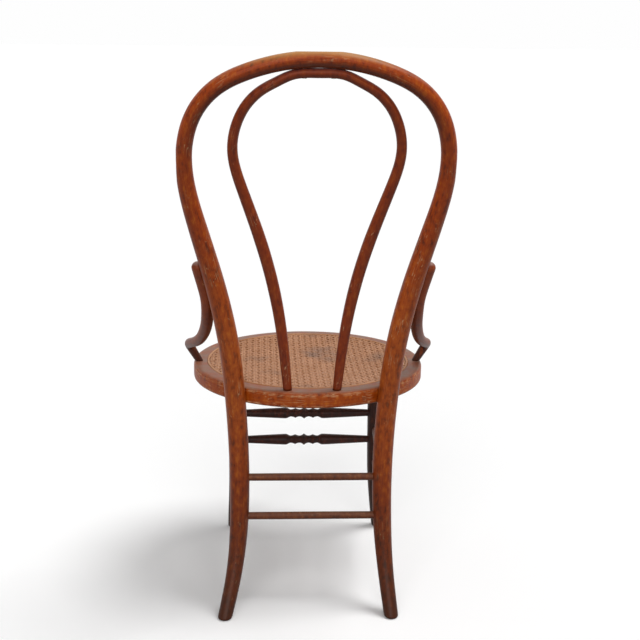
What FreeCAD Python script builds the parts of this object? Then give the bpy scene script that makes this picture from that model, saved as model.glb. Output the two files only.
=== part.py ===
"""Bentwood bistro chair with a caned round seat.

Millimetres, +Z up, the chair's front faces -Y and the sitter's left is +X.
The origin is on the floor under the middle of the chair's outline.
"""
import FreeCAD, Part
import Sketcher
import bisect
import math
import os
import re

DOC = FreeCAD.newDocument("bistro_chair")

# Driving dimensions, each with what it measures
SIZES = (
    ("fit_gap", 0.3, "clearance round tenons, bolts and seated rods"),
    ("seat_height", 394.0, "floor to the top of the seat rim"),
    ("seat_radius", 208.0, "outer face of the seat rim"),
    ("rim_height", 28.0, "seat rim, top to bottom"),
    ("rim_width", 35.0, "seat rim, outer to inner face"),
    ("rim_top_slope", 5.0, "chamfer of the rim's upper outer edge"),
    ("band_width", 24.0, "bare top of the rim, outer face to cane groove"),
    ("groove_width", 6.5, "groove that holds the cane and its spline"),
    ("groove_depth", 6.5, "depth of that groove"),
    ("cane_thick", 1.6, "woven cane sheet"),
    ("cane_pitch", 36.0, "from one gap in the cane to the next"),
    ("cane_gap", 19.0, "width of a gap in the cane"),
    ("spline_crown", 1.0, "height of the spline above the rim"),
    ("socket_inset", 13.0, "outer face of the rim to the sockets of the bent rods"),
    ("overall_height", 950.0, "floor to the top of the back"),
    ("joint_spacing", 300.0, "longest straight run of a bent rod between two joints"),
    ("bore_spare", 16.0, "straight run kept past the outermost bores of a bent rod"),
    ("hoop_reach", 298.0, "seat centre to the top of the back, measured rearwards"),
    ("hoop_spread", 204.7, "half width of the back at its widest"),
    ("hoop_wide_drop", 154.0, "crown of the back down to its widest height"),
    ("hoop_rod_crown", 25.3, "diameter of the back hoop at the crown"),
    ("hoop_rod_side", 32.8, "diameter half way down the back, where the braces lie"),
    ("hoop_rod_seat", 34.6, "diameter at the seat"),
    ("hoop_rod_calf", 33.0, "diameter half way down the rear leg"),
    ("hoop_rod_ankle", 28.6, "diameter a quarter way up the rear leg"),
    ("hoop_rod_foot", 24.6, "diameter at the floor"),
    ("rear_leg_spread", 129.5, "chair's middle to the rear leg at the seat"),
    ("rear_saddle", 4.0, "depth that the rear leg is let into the rim"),
    ("rear_waist_height", 215.0, "where the rear legs stand closest"),
    ("rear_waist_spread", 122.3, "chair's middle to the rear leg there"),
    ("rear_waist_kick", 4.0, "how far back the leg stands there"),
    ("rear_foot_spread", 142.0, "chair's middle to the rear foot"),
    ("rear_foot_kick", 60.0, "how far the rear foot stands behind the leg's top"),
    ("inner_spread", 129.9, "half width of the inner hoop at its widest"),
    ("inner_wide_drop", 117.0, "crown of the inner hoop down to its widest"),
    ("inner_foot_spread", 41.5, "chair's middle to the inner hoop's foot"),
    ("inner_rod_crown", 15.0, "diameter of the inner hoop at the crown"),
    ("inner_rod_side", 19.6, "diameter half way down"),
    ("inner_rod_foot", 14.8, "diameter at the seat"),
    ("inner_tenon_rod", 10.0, "tenon at the inner hoop's foot"),
    ("inner_tenon_depth", 18.0, "length of that tenon"),
    ("front_leg_spread", 138.0, "chair's middle to the front leg at the seat"),
    ("front_foot_spread", 146.0, "chair's middle to the front foot"),
    ("front_foot_kick", 13.0, "how far the front foot stands before the leg's top"),
    ("front_leg_rod_top", 31.0, "diameter of the straight part of the front leg"),
    ("front_leg_rod_foot", 24.6, "diameter at the floor"),
    ("front_tenon_rod", 20.0, "tenon on top of the front leg"),
    ("front_tenon_depth", 18.0, "length of that tenon"),
    ("front_upper_height", 247.0, "floor to the upper front stretcher"),
    ("front_lower_height", 192.0, "floor to the lower front stretcher"),
    ("rear_upper_height", 238.5, "floor to the upper rear stretcher"),
    ("rear_lower_height", 172.5, "floor to the lower rear stretcher"),
    ("side_upper_height", 214.0, "floor to the upper side stretchers"),
    ("side_lower_height", 148.0, "floor to the lower side stretchers"),
    ("stretcher_rod", 11.0, "diameter of the plain stretchers"),
    ("stretcher_depth", 14.0, "how deep each stretcher goes into its leg"),
    ("turned_end_rod", 13.0, "turned stretcher at its ends"),
    ("turned_barrel_rod", 19.8, "at the thick end of each barrel"),
    ("turned_neck_rod", 13.0, "at the necks between the beads"),
    ("turned_bead_rod", 18.2, "over the side beads"),
    ("turned_middle_rod", 21.4, "over the middle bead"),
    ("turned_barrel_reach", 35.0, "middle of the stretcher to each barrel"),
    ("turned_barrel_taper", 60.0, "length over which a barrel tapers"),
    ("turned_bead_reach", 17.3, "middle of the stretcher to each side bead"),
    ("turned_bead_width", 5.4, "length of a side bead"),
    ("turned_middle_width", 8.6, "length of the middle bead"),
    ("turned_cove_width", 5.5, "length of the hollow at the end of a barrel"),
    ("brace_top_rise", 225.0, "seat to the upper end of a hip brace"),
    ("brace_leave_rise", 140.0, "seat to where the brace leaves the hoop"),
    ("brace_bed", 3.0, "depth that the brace's upper end is hollowed for the hoop"),
    ("brace_knee_spread", 218.0, "chair's middle to the corner of the knee"),
    ("brace_knee_rise", 34.0, "seat to the corner of the knee"),
    ("brace_foot_back", 10.0, "seat centre to the brace's foot, rearwards"),
    ("brace_foot_drop", 7.0, "upright run of the brace above the rim"),
    ("brace_rod_top", 19.0, "diameter of the brace beside the hoop"),
    ("brace_rod_bend", 20.5, "diameter just below, where it bends forward"),
    ("brace_rod_knee", 16.5, "diameter at the knee"),
    ("brace_rod_foot", 13.2, "diameter at the rim"),
    ("brace_tenon_rod", 9.0, "tenon at the brace's foot"),
    ("brace_tenon_depth", 15.0, "length of that tenon"),
    ("bolt_rod", 7.0, "shank of a leg bolt"),
    ("bolt_head_rod", 15.0, "head of a leg bolt"),
    ("bolt_head_height", 5.0, "height of that head"),
    ("bolt_past_centre", 8.0, "how far the bolt passes the leg's centre line"),
    ("washer_rod", 20.0, "outside of a bolt's washer"),
    ("washer_thick", 1.5, "thickness of the washer"),
    ("screw_rod", 4.5, "shank of a wood screw"),
    ("screw_head_rod", 9.0, "its countersunk head"),
    ("screw_head_height", 3.2, "height of that head"),
    ("screw_sink", 1.6, "how far the head lies below the top of its rod"),
    ("crown_screw_spread", 22.0, "chair's middle to each crown screw"),
    ("brace_screw_drop", 22.0, "brace's upper end to its first screw"),
    ("screw_bite", 14.0, "how deep a wood screw goes into the second rod"),
)

SHEET = DOC.addObject("Spreadsheet::Sheet", "sizes")
for row, (alias, value, meaning) in enumerate(SIZES, start=1):
    SHEET.set(f"A{row}", meaning)
    SHEET.set(f"B{row}", str(value))
    SHEET.setAlias(f"B{row}", alias)
DOC.recompute()

ALIASES = {alias for alias, value, meaning in SIZES}
WORD = re.compile(r"[a-z_]+")
PIECES = []


def work_out(alias, value, meaning):
    """Add a length that follows from the driving dimensions to the sheet."""
    row = len(ALIASES) + 1
    SHEET.set(f"A{row}", meaning)
    SHEET.set(f"B{row}", str(value))
    SHEET.setAlias(f"B{row}", alias)
    ALIASES.add(alias)
    SHEET.recompute()


def measure(text):
    """Return the number that an expression in sheet names comes to."""
    found = SHEET.evalExpression(text)
    return float(getattr(found, "Value", found))


def bind(thing, path, text):
    """Tie a property or constraint of an object to an expression in sheet names."""
    def in_sheet(match):
        word = match.group()
        return f"sizes.{word}" if word in ALIASES else word
    thing.setExpression(path, WORD.sub(in_sheet, text))


# The seat stands forward of the origin by half of what the back overhangs it
BACK_EDGE = "hoop_reach + hoop_rod_crown / 2"
SEAT_Y = -(measure(BACK_EDGE) - measure("seat_radius")) / 2
SIDES = (("left", 1), ("right", -1))
UP = FreeCAD.Vector(0, 0, 1)


def at(x, y, z):
    """Return a point given from the seat's centre on the floor."""
    return FreeCAD.Vector(x, y + SEAT_Y, z)


def facing(start, direction, axis=FreeCAD.Vector(0, 0, 1)):
    """Return the placement that starts at a point and turns an axis to a direction."""
    return FreeCAD.Placement(start, FreeCAD.Rotation(axis, direction))


def between(low, high, share):
    """Return the value a share of the way from one value to another."""
    return low + (high - low) * share


def along_stations(stations, place):
    """Return the value at a place from a list of (place, value), straight between."""
    if place <= stations[0][0]:
        return stations[0][1]
    for (start, first), (end, last) in zip(stations, stations[1:]):
        if place <= end:
            return between(first, last, (place - start) / (end - start))
    return stations[-1][1]


class BentRod:
    """A round rod bent along a curve, with a diameter that changes along it.

    It is lofted straight from joint to joint. Where its bores go it is kept
    straight, so that they open in one plain tapered face.
    """

    TURN_PER_JOINT = math.radians(16)
    FINE_STEPS = 300

    def __init__(self, curve, diameter_at, across, straight, halves=1):
        """Take the rod's curve; with 2 halves its first half is used and mirrored.

        The ends that stand on something are cut level.
        """
        self.diameter_at = diameter_at
        self.across = across
        last = between(curve.FirstParameter, curve.LastParameter, 1 / halves)
        fine = [curve.value(between(curve.FirstParameter, last, step / self.FINE_STEPS))
                for step in range(self.FINE_STEPS + 1)]
        self.joints = self.joints_on(fine, straight)
        if halves == 2:
            self.joints.pop()
            mirrored = [FreeCAD.Vector(-p.x, p.y, p.z) for p in self.joints]
            self.joints += mirrored[::-1]
        steps = [there - here for here, there in zip(self.joints, self.joints[1:])]
        middles = [(here + there) / 2 for here, there in zip(self.joints, self.joints[1:])]
        for step in steps:
            step.normalize()
        self.directions = [steps[0]]
        for number in range(1, len(steps)):
            before, after = steps[number - 1], steps[number]
            if straight(middles[number - 1]):
                after = before
            elif straight(middles[number]):
                before = after
            self.directions.append((before + after).normalize())
        self.directions.append(FreeCAD.Vector(0, 0, -1))
        if halves == 2:
            self.directions[0] = FreeCAD.Vector(0, 0, 1)

    def joints_on(self, fine, straight):
        """Return the joints among fine points, closer together where the rod bends."""
        spacing = measure("joint_spacing")
        steps = [there - here for here, there in zip(fine, fine[1:])]
        turns = [0.0] + [one.getAngle(other) for one, other in zip(steps, steps[1:])]
        spent = [0.0]
        for step, turn in zip(steps, turns):
            spent.append(spent[-1] + turn / self.TURN_PER_JOINT + step.Length / spacing)
        flags = [straight(point) for point in fine]
        marks = [number for number in range(1, len(fine)) if flags[number] != flags[number - 1]]
        joints = [fine[0]]
        for begin, end in zip([0] + marks, marks + [len(fine) - 1]):
            share = spent[end] - spent[begin]
            count = 1 if flags[begin] else max(1, round(share))
            for joint in range(1, count + 1):
                wanted = spent[begin] + share * joint / count
                joints.append(fine[min(bisect.bisect_left(spent, wanted - 1e-9), end)])
        return joints

    def ring(self, centre, direction, extra):
        """Return the rod's outline at a point."""
        turn = FreeCAD.Rotation(self.across, direction.cross(self.across), direction, "ZXY")
        ring = Part.makeCircle(self.diameter_at(centre) / 2 + extra)
        ring.Placement = FreeCAD.Placement(centre, turn)
        return Part.Wire([ring])

    def solid(self, extra=0.0, near=None):
        """Return the rod as a solid, its radius grown by an extra amount.

        With near, a test for a point, only the stretch that passes it is made.
        """
        chosen = range(len(self.joints))
        if near:
            hits = [number for number in chosen if near(self.joints[number])]
            chosen = range(max(hits[0] - 1, 0), min(hits[-1] + 2, len(self.joints)))
        rings = [self.ring(self.joints[number], self.directions[number], extra)
                 for number in chosen]
        return Part.makeLoft(rings, True, True)

    def crossing(self, side, wanted, passes):
        """Return the centre where a coordinate of the rod reaches a wanted value."""
        for start, end in zip(self.joints, self.joints[1:]):
            low = getattr(start, side) - wanted
            high = getattr(end, side) - wanted
            if low * high <= 0 and passes(start) and passes(end):
                return start + (end - start) * (low / (low - high))
        raise ValueError(f"the rod doesn't reach {side} = {wanted}")

    def centre_at(self, height, sign):
        """Return the rod's centre at a height, on one side of the chair."""
        return self.crossing("z", height, lambda point: point.x * sign > 0)


def through(points):
    """Return the smooth curve that passes through points."""
    curve = Part.BSplineCurve()
    curve.interpolate(points)
    return curve


def guided(poles):
    """Return the smooth curve that a chain of poles guides, from first to last."""
    curve = Part.BSplineCurve()
    curve.buildFromPoles(poles, False, 3)
    return curve


# Objects of the document

def shaped(name, shape):
    """Add an object that holds a shape worked out here."""
    thing = DOC.addObject("Part::Feature", name)
    thing.Shape = shape
    return thing


def rod(name, radius, length, start, direction):
    """Add a round rod or bore tool with its radius and length tied to the sheet."""
    thing = DOC.addObject("Part::Cylinder", name)
    bind(thing, "Radius", radius)
    bind(thing, "Height", length)
    thing.Placement = facing(start, direction)
    return thing


def cut(label, base, tools):
    """Add what is left of a base after its tools, as the piece with this label."""
    joined = DOC.addObject("Part::Compound", f"{label}_tools")
    joined.Links = tools
    piece = DOC.addObject("Part::Cut", label)
    piece.Base = base
    piece.Tool = joined
    return piece


def keep(piece, label):
    """Name a finished piece and put it on the list of pieces."""
    piece.Label = label
    PIECES.append(piece)
    return piece


def group(label, members):
    """Add one piece that holds several alike separate solids."""
    thing = DOC.addObject("Part::Compound", label)
    thing.Links = members
    return keep(thing, label)


def plane_of(body, role):
    """Return one of a body's own origin planes."""
    return next(f for f in body.Origin.OriginFeatures if f.Role == role)


def sketch_in(body, role, name):
    """Add a sketch on one of a body's origin planes."""
    sketch = body.newObject("Sketcher::SketchObject", name)
    sketch.AttachmentSupport = [(plane_of(body, role), "")]
    sketch.MapMode = "FlatFace"
    return sketch


def outline(sketch, corners):
    """Draw a closed outline of straight lines, each corner tied to the sheet.

    Each corner is (across, up). A "0" puts the corner on an axis.
    """
    points = [FreeCAD.Vector(measure(across), measure(up), 0) for across, up in corners]
    for start, end in zip(points, points[1:] + points[:1]):
        sketch.addGeometry(Part.LineSegment(start, end), False)
    for number, (across, up) in enumerate(corners):
        following = (number + 1) % len(corners)
        sketch.addConstraint(Sketcher.Constraint("Coincident", number, 2, following, 1))
        for text, kind, axis, value in (
            (across, "DistanceX", -2, points[number].x),
            (up, "DistanceY", -1, points[number].y),
        ):
            if text == "0":
                sketch.addConstraint(Sketcher.Constraint("PointOnObject", number, 1, axis))
                continue
            place = sketch.addConstraint(
                Sketcher.Constraint(kind, -1, 1, number, 1, value))
            bind(sketch, f"Constraints[{place}]", text)


def turned(name, corners, axis, start, direction=FreeCAD.Vector(0, 0, 1)):
    """Add a body that is one outline turned about an axis of its sketch."""
    body = DOC.addObject("PartDesign::Body", name)
    body.Placement = facing(start, direction)
    sketch = sketch_in(body, "XZ_Plane", f"{name}_outline")
    outline(sketch, corners)
    spin = body.newObject("PartDesign::Revolution", f"{name}_turned")
    spin.Profile = sketch
    spin.ReferenceAxis = (sketch, [axis])
    spin.Angle = 360
    sketch.Visibility = False
    return body


# Centre lines of the bent rods

CROWN = "overall_height - hoop_rod_crown / 2"
RIM_MIDDLE = "seat_height - rim_height / 2"
RIM_FOOT = "seat_height - rim_height"

# How each bend runs, as shares of the way across and of the way down it
CROWN_BEND = ((0.53, 0.128), (0.75, 0.278), (0.906, 0.51), (0.975, 0.74))
HOOP_TAPER = ((0.035, 0.095), (0.22, 0.25), (0.58, 0.50), (0.855, 0.75))
CALF_BEND = (0.45, 0.69)
INNER_BEND = ((0.29, 0.02), (0.49, 0.117), (0.656, 0.22), (0.84, 0.42), (0.94, 0.63))
INNER_TAPER = ((0.144, 0.139), (0.444, 0.33), (0.70, 0.53), (0.873, 0.735))


def leg_setback():
    """Return how far behind the seat's centre the rear legs pass the rim."""
    stand_off = measure("seat_radius + hoop_rod_seat / 2 - rear_saddle")
    return math.sqrt(stand_off ** 2 - measure("rear_leg_spread") ** 2)


def lean(height):
    """Return how far back the hoops stand at a height: a parabola from the seat up."""
    low = measure(RIM_MIDDLE)
    share = (height - low) / (measure(CROWN) - low)
    reach = measure("hoop_reach")
    return between(leg_setback(), reach, 0.62 * share + 0.38 * share ** 2)


def hoop_side(crown, spread, drop, bend, taper, foot_spread, foot):
    """Return (across, height) down one side of a hoop, from crown to seat."""
    widest = crown - drop
    side = [(spread * out, crown - drop * down) for out, down in bend]
    side.append((spread, widest))
    side += [(between(spread, foot_spread, out), between(widest, foot, down))
             for out, down in taper]
    side.append((foot_spread, foot))
    return side


def both_sides(half):
    """Return points up one side of the chair and down the other, from one half."""
    mirrored = [FreeCAD.Vector(-p.x, p.y, p.z) for p in half]
    return half[::-1] + mirrored[1:]


def back_hoop_rod():
    """Return the back: rear foot, hoop and rear foot, one rod."""
    crown = measure(CROWN)
    side = hoop_side(crown, measure("hoop_spread"), measure("hoop_wide_drop"),
                     CROWN_BEND, HOOP_TAPER, measure("rear_leg_spread"),
                     measure(RIM_MIDDLE))
    half = [at(0, lean(crown), crown)]
    half += [at(across, lean(height), height) for across, height in side]
    top = leg_setback()
    waist = at(measure("rear_waist_spread"), top + measure("rear_waist_kick"),
               measure("rear_waist_height"))
    foot = at(measure("rear_foot_spread"), top + measure("rear_foot_kick"), 0)
    out, down = CALF_BEND
    calf = waist + (foot - waist) * out
    calf.z = waist.z * (1 - down)
    half += [waist, calf, foot]
    seat, calf, beside = (measure(f"hoop_rod_{place}") for place in ("seat", "calf", "side"))
    (low, high), (under, over), (leave, top) = bored_heights()
    spare = measure("bore_spare") / 2
    stations = [
        (0, measure("hoop_rod_foot")),
        (waist.z * 0.44, measure("hoop_rod_ankle")),
        (low - spare, calf), (high + spare, calf), (under - spare, seat), (over + spare, seat),
        (leave - spare, beside), (top + spare, beside),
        (side[4][1] + measure("hoop_rod_crown") / 2, measure("hoop_rod_crown")),
    ]
    return BentRod(through(both_sides(half)), lambda point: along_stations(stations, point.z),
                   FreeCAD.Vector(0, 1, 0), bored_stretch, halves=2)


def bored_heights():
    """Return the stretches of height in which the back hoop is bored."""
    seat = measure("seat_height")
    spare = measure("bore_spare")
    return (
        (measure("side_lower_height") - spare, measure("rear_upper_height") + spare),
        (measure(RIM_FOOT) - spare, seat + spare),
        (seat + measure("brace_leave_rise"), seat + measure("brace_top_rise")),
    )


def bored_stretch(point):
    """Tell whether the back hoop is bored near a point of it."""
    stretches = bored_heights()
    at_crown = (abs(point.x) < measure("crown_screw_spread") * 1.6
                and point.z > stretches[-1][1])
    return at_crown or any(low < point.z < high for low, high in stretches)


def inner_crown():
    """Return the height of the inner hoop's centre line at its crown."""
    return measure(f"{CROWN} - hoop_rod_crown / 2 - fit_gap - inner_rod_crown / 2")


def inner_foot():
    """Return how far behind the seat's centre the inner hoop's feet stand."""
    ring = measure("seat_radius - socket_inset")
    return math.sqrt(ring ** 2 - measure("inner_foot_spread") ** 2)


def inner_hoop_rod():
    """Return the inner hoop, from the rim's top up, over and down again."""
    crown = inner_crown()
    seat = measure("seat_height")
    side = hoop_side(crown, measure("inner_spread"), measure("inner_wide_drop"),
                     INNER_BEND, INNER_TAPER, measure("inner_foot_spread"), seat)
    foot_error = inner_foot() - lean(seat)

    def back(height):
        """Return the lean there, eased to meet the rim at the foot."""
        return lean(height) + foot_error * (crown - height) / (crown - seat)

    half = [at(0, back(crown), crown)]
    half += [at(across, back(height), height) for across, height in side]
    widest = side[5][1]
    stations = [
        (seat, measure("inner_rod_foot")),
        (between(seat, widest, 0.27), between(measure("inner_rod_foot"),
                                              measure("inner_rod_side"), 0.75)),
        (between(seat, widest, 0.5), measure("inner_rod_side")),
        (between(seat, widest, 0.7), measure("inner_rod_side")),
        (widest, measure("inner_rod_crown")),
    ]
    screwed = measure("crown_screw_spread") * 1.6
    return BentRod(through(both_sides(half)), lambda point: along_stations(stations, point.z),
                   FreeCAD.Vector(0, 1, 0),
                   lambda point: abs(point.x) < screwed and point.z > widest, halves=2)


# How a brace sweeps from hoop to knee, as shares forward, down and outward
BRACE_SWEEP = ((0.08, 0.26, 0.00), (0.27, 0.46, 0.22), (0.55, 0.68, 0.52),
               (0.80, 0.86, 0.82))
BRACE_TURN = math.radians(40)


def beside_hoop(hoop, sign, height):
    """Return a brace's centre, its diameter and its side where it lies on the hoop."""
    leave = measure("seat_height + brace_leave_rise")
    top = measure("seat_height + brace_top_rise")
    outward = FreeCAD.Vector(sign * math.cos(BRACE_TURN), -math.sin(BRACE_TURN), 0)
    centre = hoop.centre_at(height, sign)
    width = measure("brace_rod_top")
    bed = along_stations([(leave, -measure("fit_gap")), (top, measure("brace_bed"))], height)
    return centre + outward * ((hoop.diameter_at(centre) + width) / 2 - bed), width, outward


def brace_rod(hoop, sign):
    """Return one hip brace, from beside the hoop down to the seat rim."""
    seat = measure("seat_height")
    top = seat + measure("brace_top_rise")
    leave = seat + measure("brace_leave_rise")
    poles = [beside_hoop(hoop, sign, between(leave, top, share))[0]
             for share in (1, 0.8, 0.5, 0.2)]
    start = poles[-1]
    knee = at(sign * measure("brace_knee_spread"), measure("brace_foot_back"),
              seat + measure("brace_knee_rise"))
    for forward, down, out in BRACE_SWEEP:
        poles.append(FreeCAD.Vector(between(start.x, knee.x, out),
                                    between(start.y, knee.y, forward),
                                    between(start.z, knee.z, down)))
    poles.append(knee)
    foot = at(sign * brace_foot_across(), measure("brace_foot_back"), seat)
    drop = UP * measure("brace_foot_drop")
    poles += [between(knee, foot, 0.6) + drop, foot + drop, foot]
    stations = [
        (seat, measure("brace_rod_foot")),
        (knee.z, measure("brace_rod_knee")),
        (between(knee.z, leave, 0.6), measure("brace_rod_bend")),
        (leave - measure("bore_spare") / 2, measure("brace_rod_top")),
    ]
    brace = BentRod(guided(poles), lambda point: along_stations(stations, point.z),
                    FreeCAD.Vector(sign, 0, 0), lambda point: point.z > leave)
    return brace, foot


def brace_foot_across():
    """Return how far from the chair's middle a brace meets the rim."""
    ring = measure("seat_radius - socket_inset")
    return math.sqrt(ring ** 2 - measure("brace_foot_back") ** 2)


# Front legs

# Height on the leg, share of its kick and share of its full thickness
LEG_SECTIONS = ((0.13, 0.58, 0.45), (0.25, 0.24, 0.75), (0.36, 0, 1), (1, 0, 1))
LEG_SET_BACK = "sqrt((seat_radius - rim_width / 2)^2 - front_leg_spread^2)"


def front_leg_at(height, sign):
    """Return the front leg's centre and diameter at a height."""
    share = height / measure(RIM_FOOT)
    kick = along_stations([(0, 1)] + [(up, out) for up, out, full in LEG_SECTIONS], share)
    full = along_stations([(0, 0)] + [(up, full) for up, out, full in LEG_SECTIONS], share)
    across = measure(f"front_leg_spread + (front_foot_spread - front_leg_spread) * {kick}")
    ahead = measure(f"{LEG_SET_BACK} + front_foot_kick * {kick}")
    width = measure(f"front_leg_rod_foot + (front_leg_rod_top - front_leg_rod_foot) * {full}")
    return at(sign * across, -ahead, height), width


def put(thing, body, across, back, up):
    """Stand a sketch or a cylinder on a body's ground plane, its place tied to the sheet."""
    thing.AttachmentSupport = [(plane_of(body, "XY_Plane"), "")]
    thing.MapMode = "FlatFace"
    for side, text in (("x", across), ("y", back), ("z", up)):
        bind(thing, f"AttachmentOffset.Base.{side}", text)


def leg_ring(body, name, place, radius):
    """Add one level ring of a front leg."""
    sketch = body.newObject("Sketcher::SketchObject", name)
    put(sketch, body, *place)
    middle = FreeCAD.Vector(0, 0, 0)
    ring = Part.Circle(middle, FreeCAD.Vector(0, 0, 1), measure(radius))
    index = sketch.addGeometry(ring, False)
    sketch.addConstraint(Sketcher.Constraint("Coincident", index, 3, -1, 1))
    number = sketch.addConstraint(Sketcher.Constraint("Radius", index, measure(radius)))
    bind(sketch, f"Constraints[{number}]", radius)
    sketch.Visibility = False
    return sketch


def front_leg(side, sign):
    """Add a front leg: rings from the foot up, lofted, with a tenon on top."""
    name = f"front_leg_{side}_rod"
    body = DOC.addObject("PartDesign::Body", name)
    body.Placement = FreeCAD.Placement(at(0, 0, 0), FreeCAD.Rotation())

    def place(kick, up):
        """Return where a ring stands: across, back and up."""
        out = f"front_leg_spread + (front_foot_spread - front_leg_spread) * {kick}"
        return f"{sign} * ({out})", f"-{LEG_SET_BACK} - front_foot_kick * {kick}", up

    foot = "front_leg_rod_foot / 2"
    rings = [leg_ring(body, f"{name}_foot", place(1, "0"), foot)]
    for up, kick, full in LEG_SECTIONS:
        radius = f"{foot} + (front_leg_rod_top - front_leg_rod_foot) / 2 * {full}"
        ring = leg_ring(body, f"{name}_{len(rings)}", place(kick, f"({RIM_FOOT}) * {up}"), radius)
        rings.append(ring)
    loft = body.newObject("PartDesign::AdditiveLoft", f"{name}_loft")
    loft.Profile = rings[0]
    loft.Sections = rings[1:]
    loft.Ruled = True
    tenon = body.newObject("PartDesign::AdditiveCylinder", f"{name}_tenon")
    bind(tenon, "Radius", "front_tenon_rod / 2")
    bind(tenon, "Height", "front_tenon_depth")
    put(tenon, body, *place(0, RIM_FOOT))
    return body


# Seat

GROOVE_OUT = "seat_radius - band_width"
GROOVE_IN = "seat_radius - band_width - groove_width"
GROOVE_FLOOR = "seat_height - groove_depth"
LEDGE = "seat_height - cane_thick"
CANE_EDGE = f"{GROOVE_IN} + fit_gap + cane_thick"


def seat_ring():
    """Add the turned rim with its cane groove, before its sockets are bored."""
    inner = "seat_radius - rim_width"
    return turned("seat_ring", (
        (inner, RIM_FOOT),
        ("seat_radius", RIM_FOOT),
        ("seat_radius", "seat_height - rim_top_slope"),
        ("seat_radius - rim_top_slope", "seat_height"),
        (GROOVE_OUT, "seat_height"),
        (GROOVE_OUT, GROOVE_FLOOR),
        (GROOVE_IN, GROOVE_FLOOR),
        (GROOVE_IN, LEDGE),
        (inner, LEDGE),
    ), "V_Axis", at(0, 0, 0))


def cane_spline():
    """Add the reed that holds the cane down in its groove."""
    foot = f"{GROOVE_FLOOR} + fit_gap"
    return turned("cane_spline", (
        (CANE_EDGE, foot),
        (f"{GROOVE_OUT} - fit_gap", foot),
        (f"{GROOVE_OUT} - fit_gap", "seat_height + spline_crown"),
        (CANE_EDGE, "seat_height + spline_crown"),
    ), "V_Axis", at(0, 0, 0))


def cane_panel():
    """Add the woven sheet: one flat holed plate with its edge turned into the groove."""
    pitch = measure("cane_pitch")
    gap = measure("cane_gap")
    thick = measure("cane_thick")
    edge = measure(CANE_EDGE)
    level = measure(LEDGE)
    last = int(edge / pitch) + 1
    rows = [number * pitch for number in range(-last, last + 1)]
    clear = measure("seat_radius - rim_width") - gap * math.sqrt(2)
    wires = [Part.Wire([Part.makeCircle(edge, at(0, 0, level))])]
    for across in rows:
        for back in rows:
            if math.hypot(across, back) < clear:
                gap_corner = at(across - gap / 2, back - gap / 2, level)
                wires.append(Part.makePlane(gap, gap, gap_corner).OuterWire)
    plate = Part.makeFace(wires, "Part::FaceMakerBullseye").extrude(FreeCAD.Vector(0, 0, thick))
    depth = measure(f"{LEDGE} - ({GROOVE_FLOOR} + fit_gap)")
    foot = at(0, 0, level - depth)
    skirt = Part.makeCylinder(edge, depth, foot).cut(
        Part.makeCylinder(edge - thick, depth, foot))
    return shaped("cane_panel", plate.fuse(skirt).removeSplitter())


# Stretchers

def stretcher_ends(first, second):
    """Return a stretcher's two ends and its direction.

    It runs between two legs, each given as (centre, diameter) at its height.
    """
    (start, start_leg), (end, end_leg) = first, second
    direction = (end - start).normalize()
    depth = measure("stretcher_depth")
    begin = start + direction * (start_leg / 2 - depth)
    finish = end - direction * (end_leg / 2 - depth)
    return begin, finish, direction


def stretcher_bores(label, begin, finish, direction, width):
    """Add the two sockets of a stretcher, at its start and at its end."""
    bores = []
    for name, place, inward in (("start", begin, direction), ("end", finish, direction * -1)):
        bores.append(rod(f"{label}_{name}_bore", f"{width} / 2 + fit_gap",
                         "stretcher_depth * 2", place - inward * measure("fit_gap"), inward))
    return bores


def plain_stretcher(label, first, second):
    """Add a plain round stretcher and return its two sockets."""
    begin, finish, direction = stretcher_ends(first, second)
    work_out(f"{label}_length", (finish - begin).Length, "worked out from the legs")
    piece = rod(label, "stretcher_rod / 2", f"{label}_length", begin, direction)
    keep(piece, label)
    return stretcher_bores(label, begin, finish, direction, "stretcher_rod")


def bead(middle, width, rod_width):
    """Return the corners over a ridged bead, outer side first."""
    neck = "turned_neck_rod / 2"
    return [(f"{middle} + {width} / 2", neck), (middle, f"{rod_width} / 2"),
            (f"{middle} - {width} / 2", neck)]


def turned_stretcher(label, first, second):
    """Add a turned stretcher, two long barrels with three beads between them."""
    begin, finish, direction = stretcher_ends(first, second)
    half = f"{label}_half"
    work_out(half, (finish - begin).Length / 2, "worked out from the legs")
    neck = "turned_neck_rod / 2"
    arm = [
        (half, "0"),
        (half, "turned_end_rod / 2"),
        ("turned_barrel_reach + turned_barrel_taper", "turned_end_rod / 2"),
        ("turned_barrel_reach", "turned_barrel_rod / 2"),
        ("turned_barrel_reach - turned_cove_width", neck),
    ]
    arm += bead("turned_bead_reach", "turned_bead_width", "turned_bead_rod")
    arm += bead("0", "turned_middle_width", "turned_middle_rod")[:1]
    left = [(f"-({across})", up) for across, up in arm]
    peak = [("0", "turned_middle_rod / 2")]
    middle = (begin + finish) / 2
    keep(turned(label, left + peak + arm[::-1], "H_Axis", middle), label)
    return stretcher_bores(label, begin, finish, direction, "turned_end_rod")


# Fasteners

def screw(name, length, start, direction):
    """Add a countersunk wood screw, from its head's face inward."""
    return turned(name, (
        ("0", "0"), ("screw_head_rod / 2", "0"), ("screw_rod / 2", "screw_head_height"),
        ("screw_rod / 2", length), ("0", length),
    ), "V_Axis", start, direction)


def screw_bore(name, length, start, direction):
    """Add the bore of a wood screw, open to the outside over its sunk head."""
    head = "screw_head_rod / 2 + fit_gap"
    shank = "screw_rod / 2 + fit_gap"
    return turned(name, (
        ("0", "-screw_head_height"), (head, "-screw_head_height"), (head, "fit_gap / 2"),
        (shank, "screw_head_height"), (shank, f"{length} + fit_gap"),
        ("0", f"{length} + fit_gap"),
    ), "V_Axis", start, direction)


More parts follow.
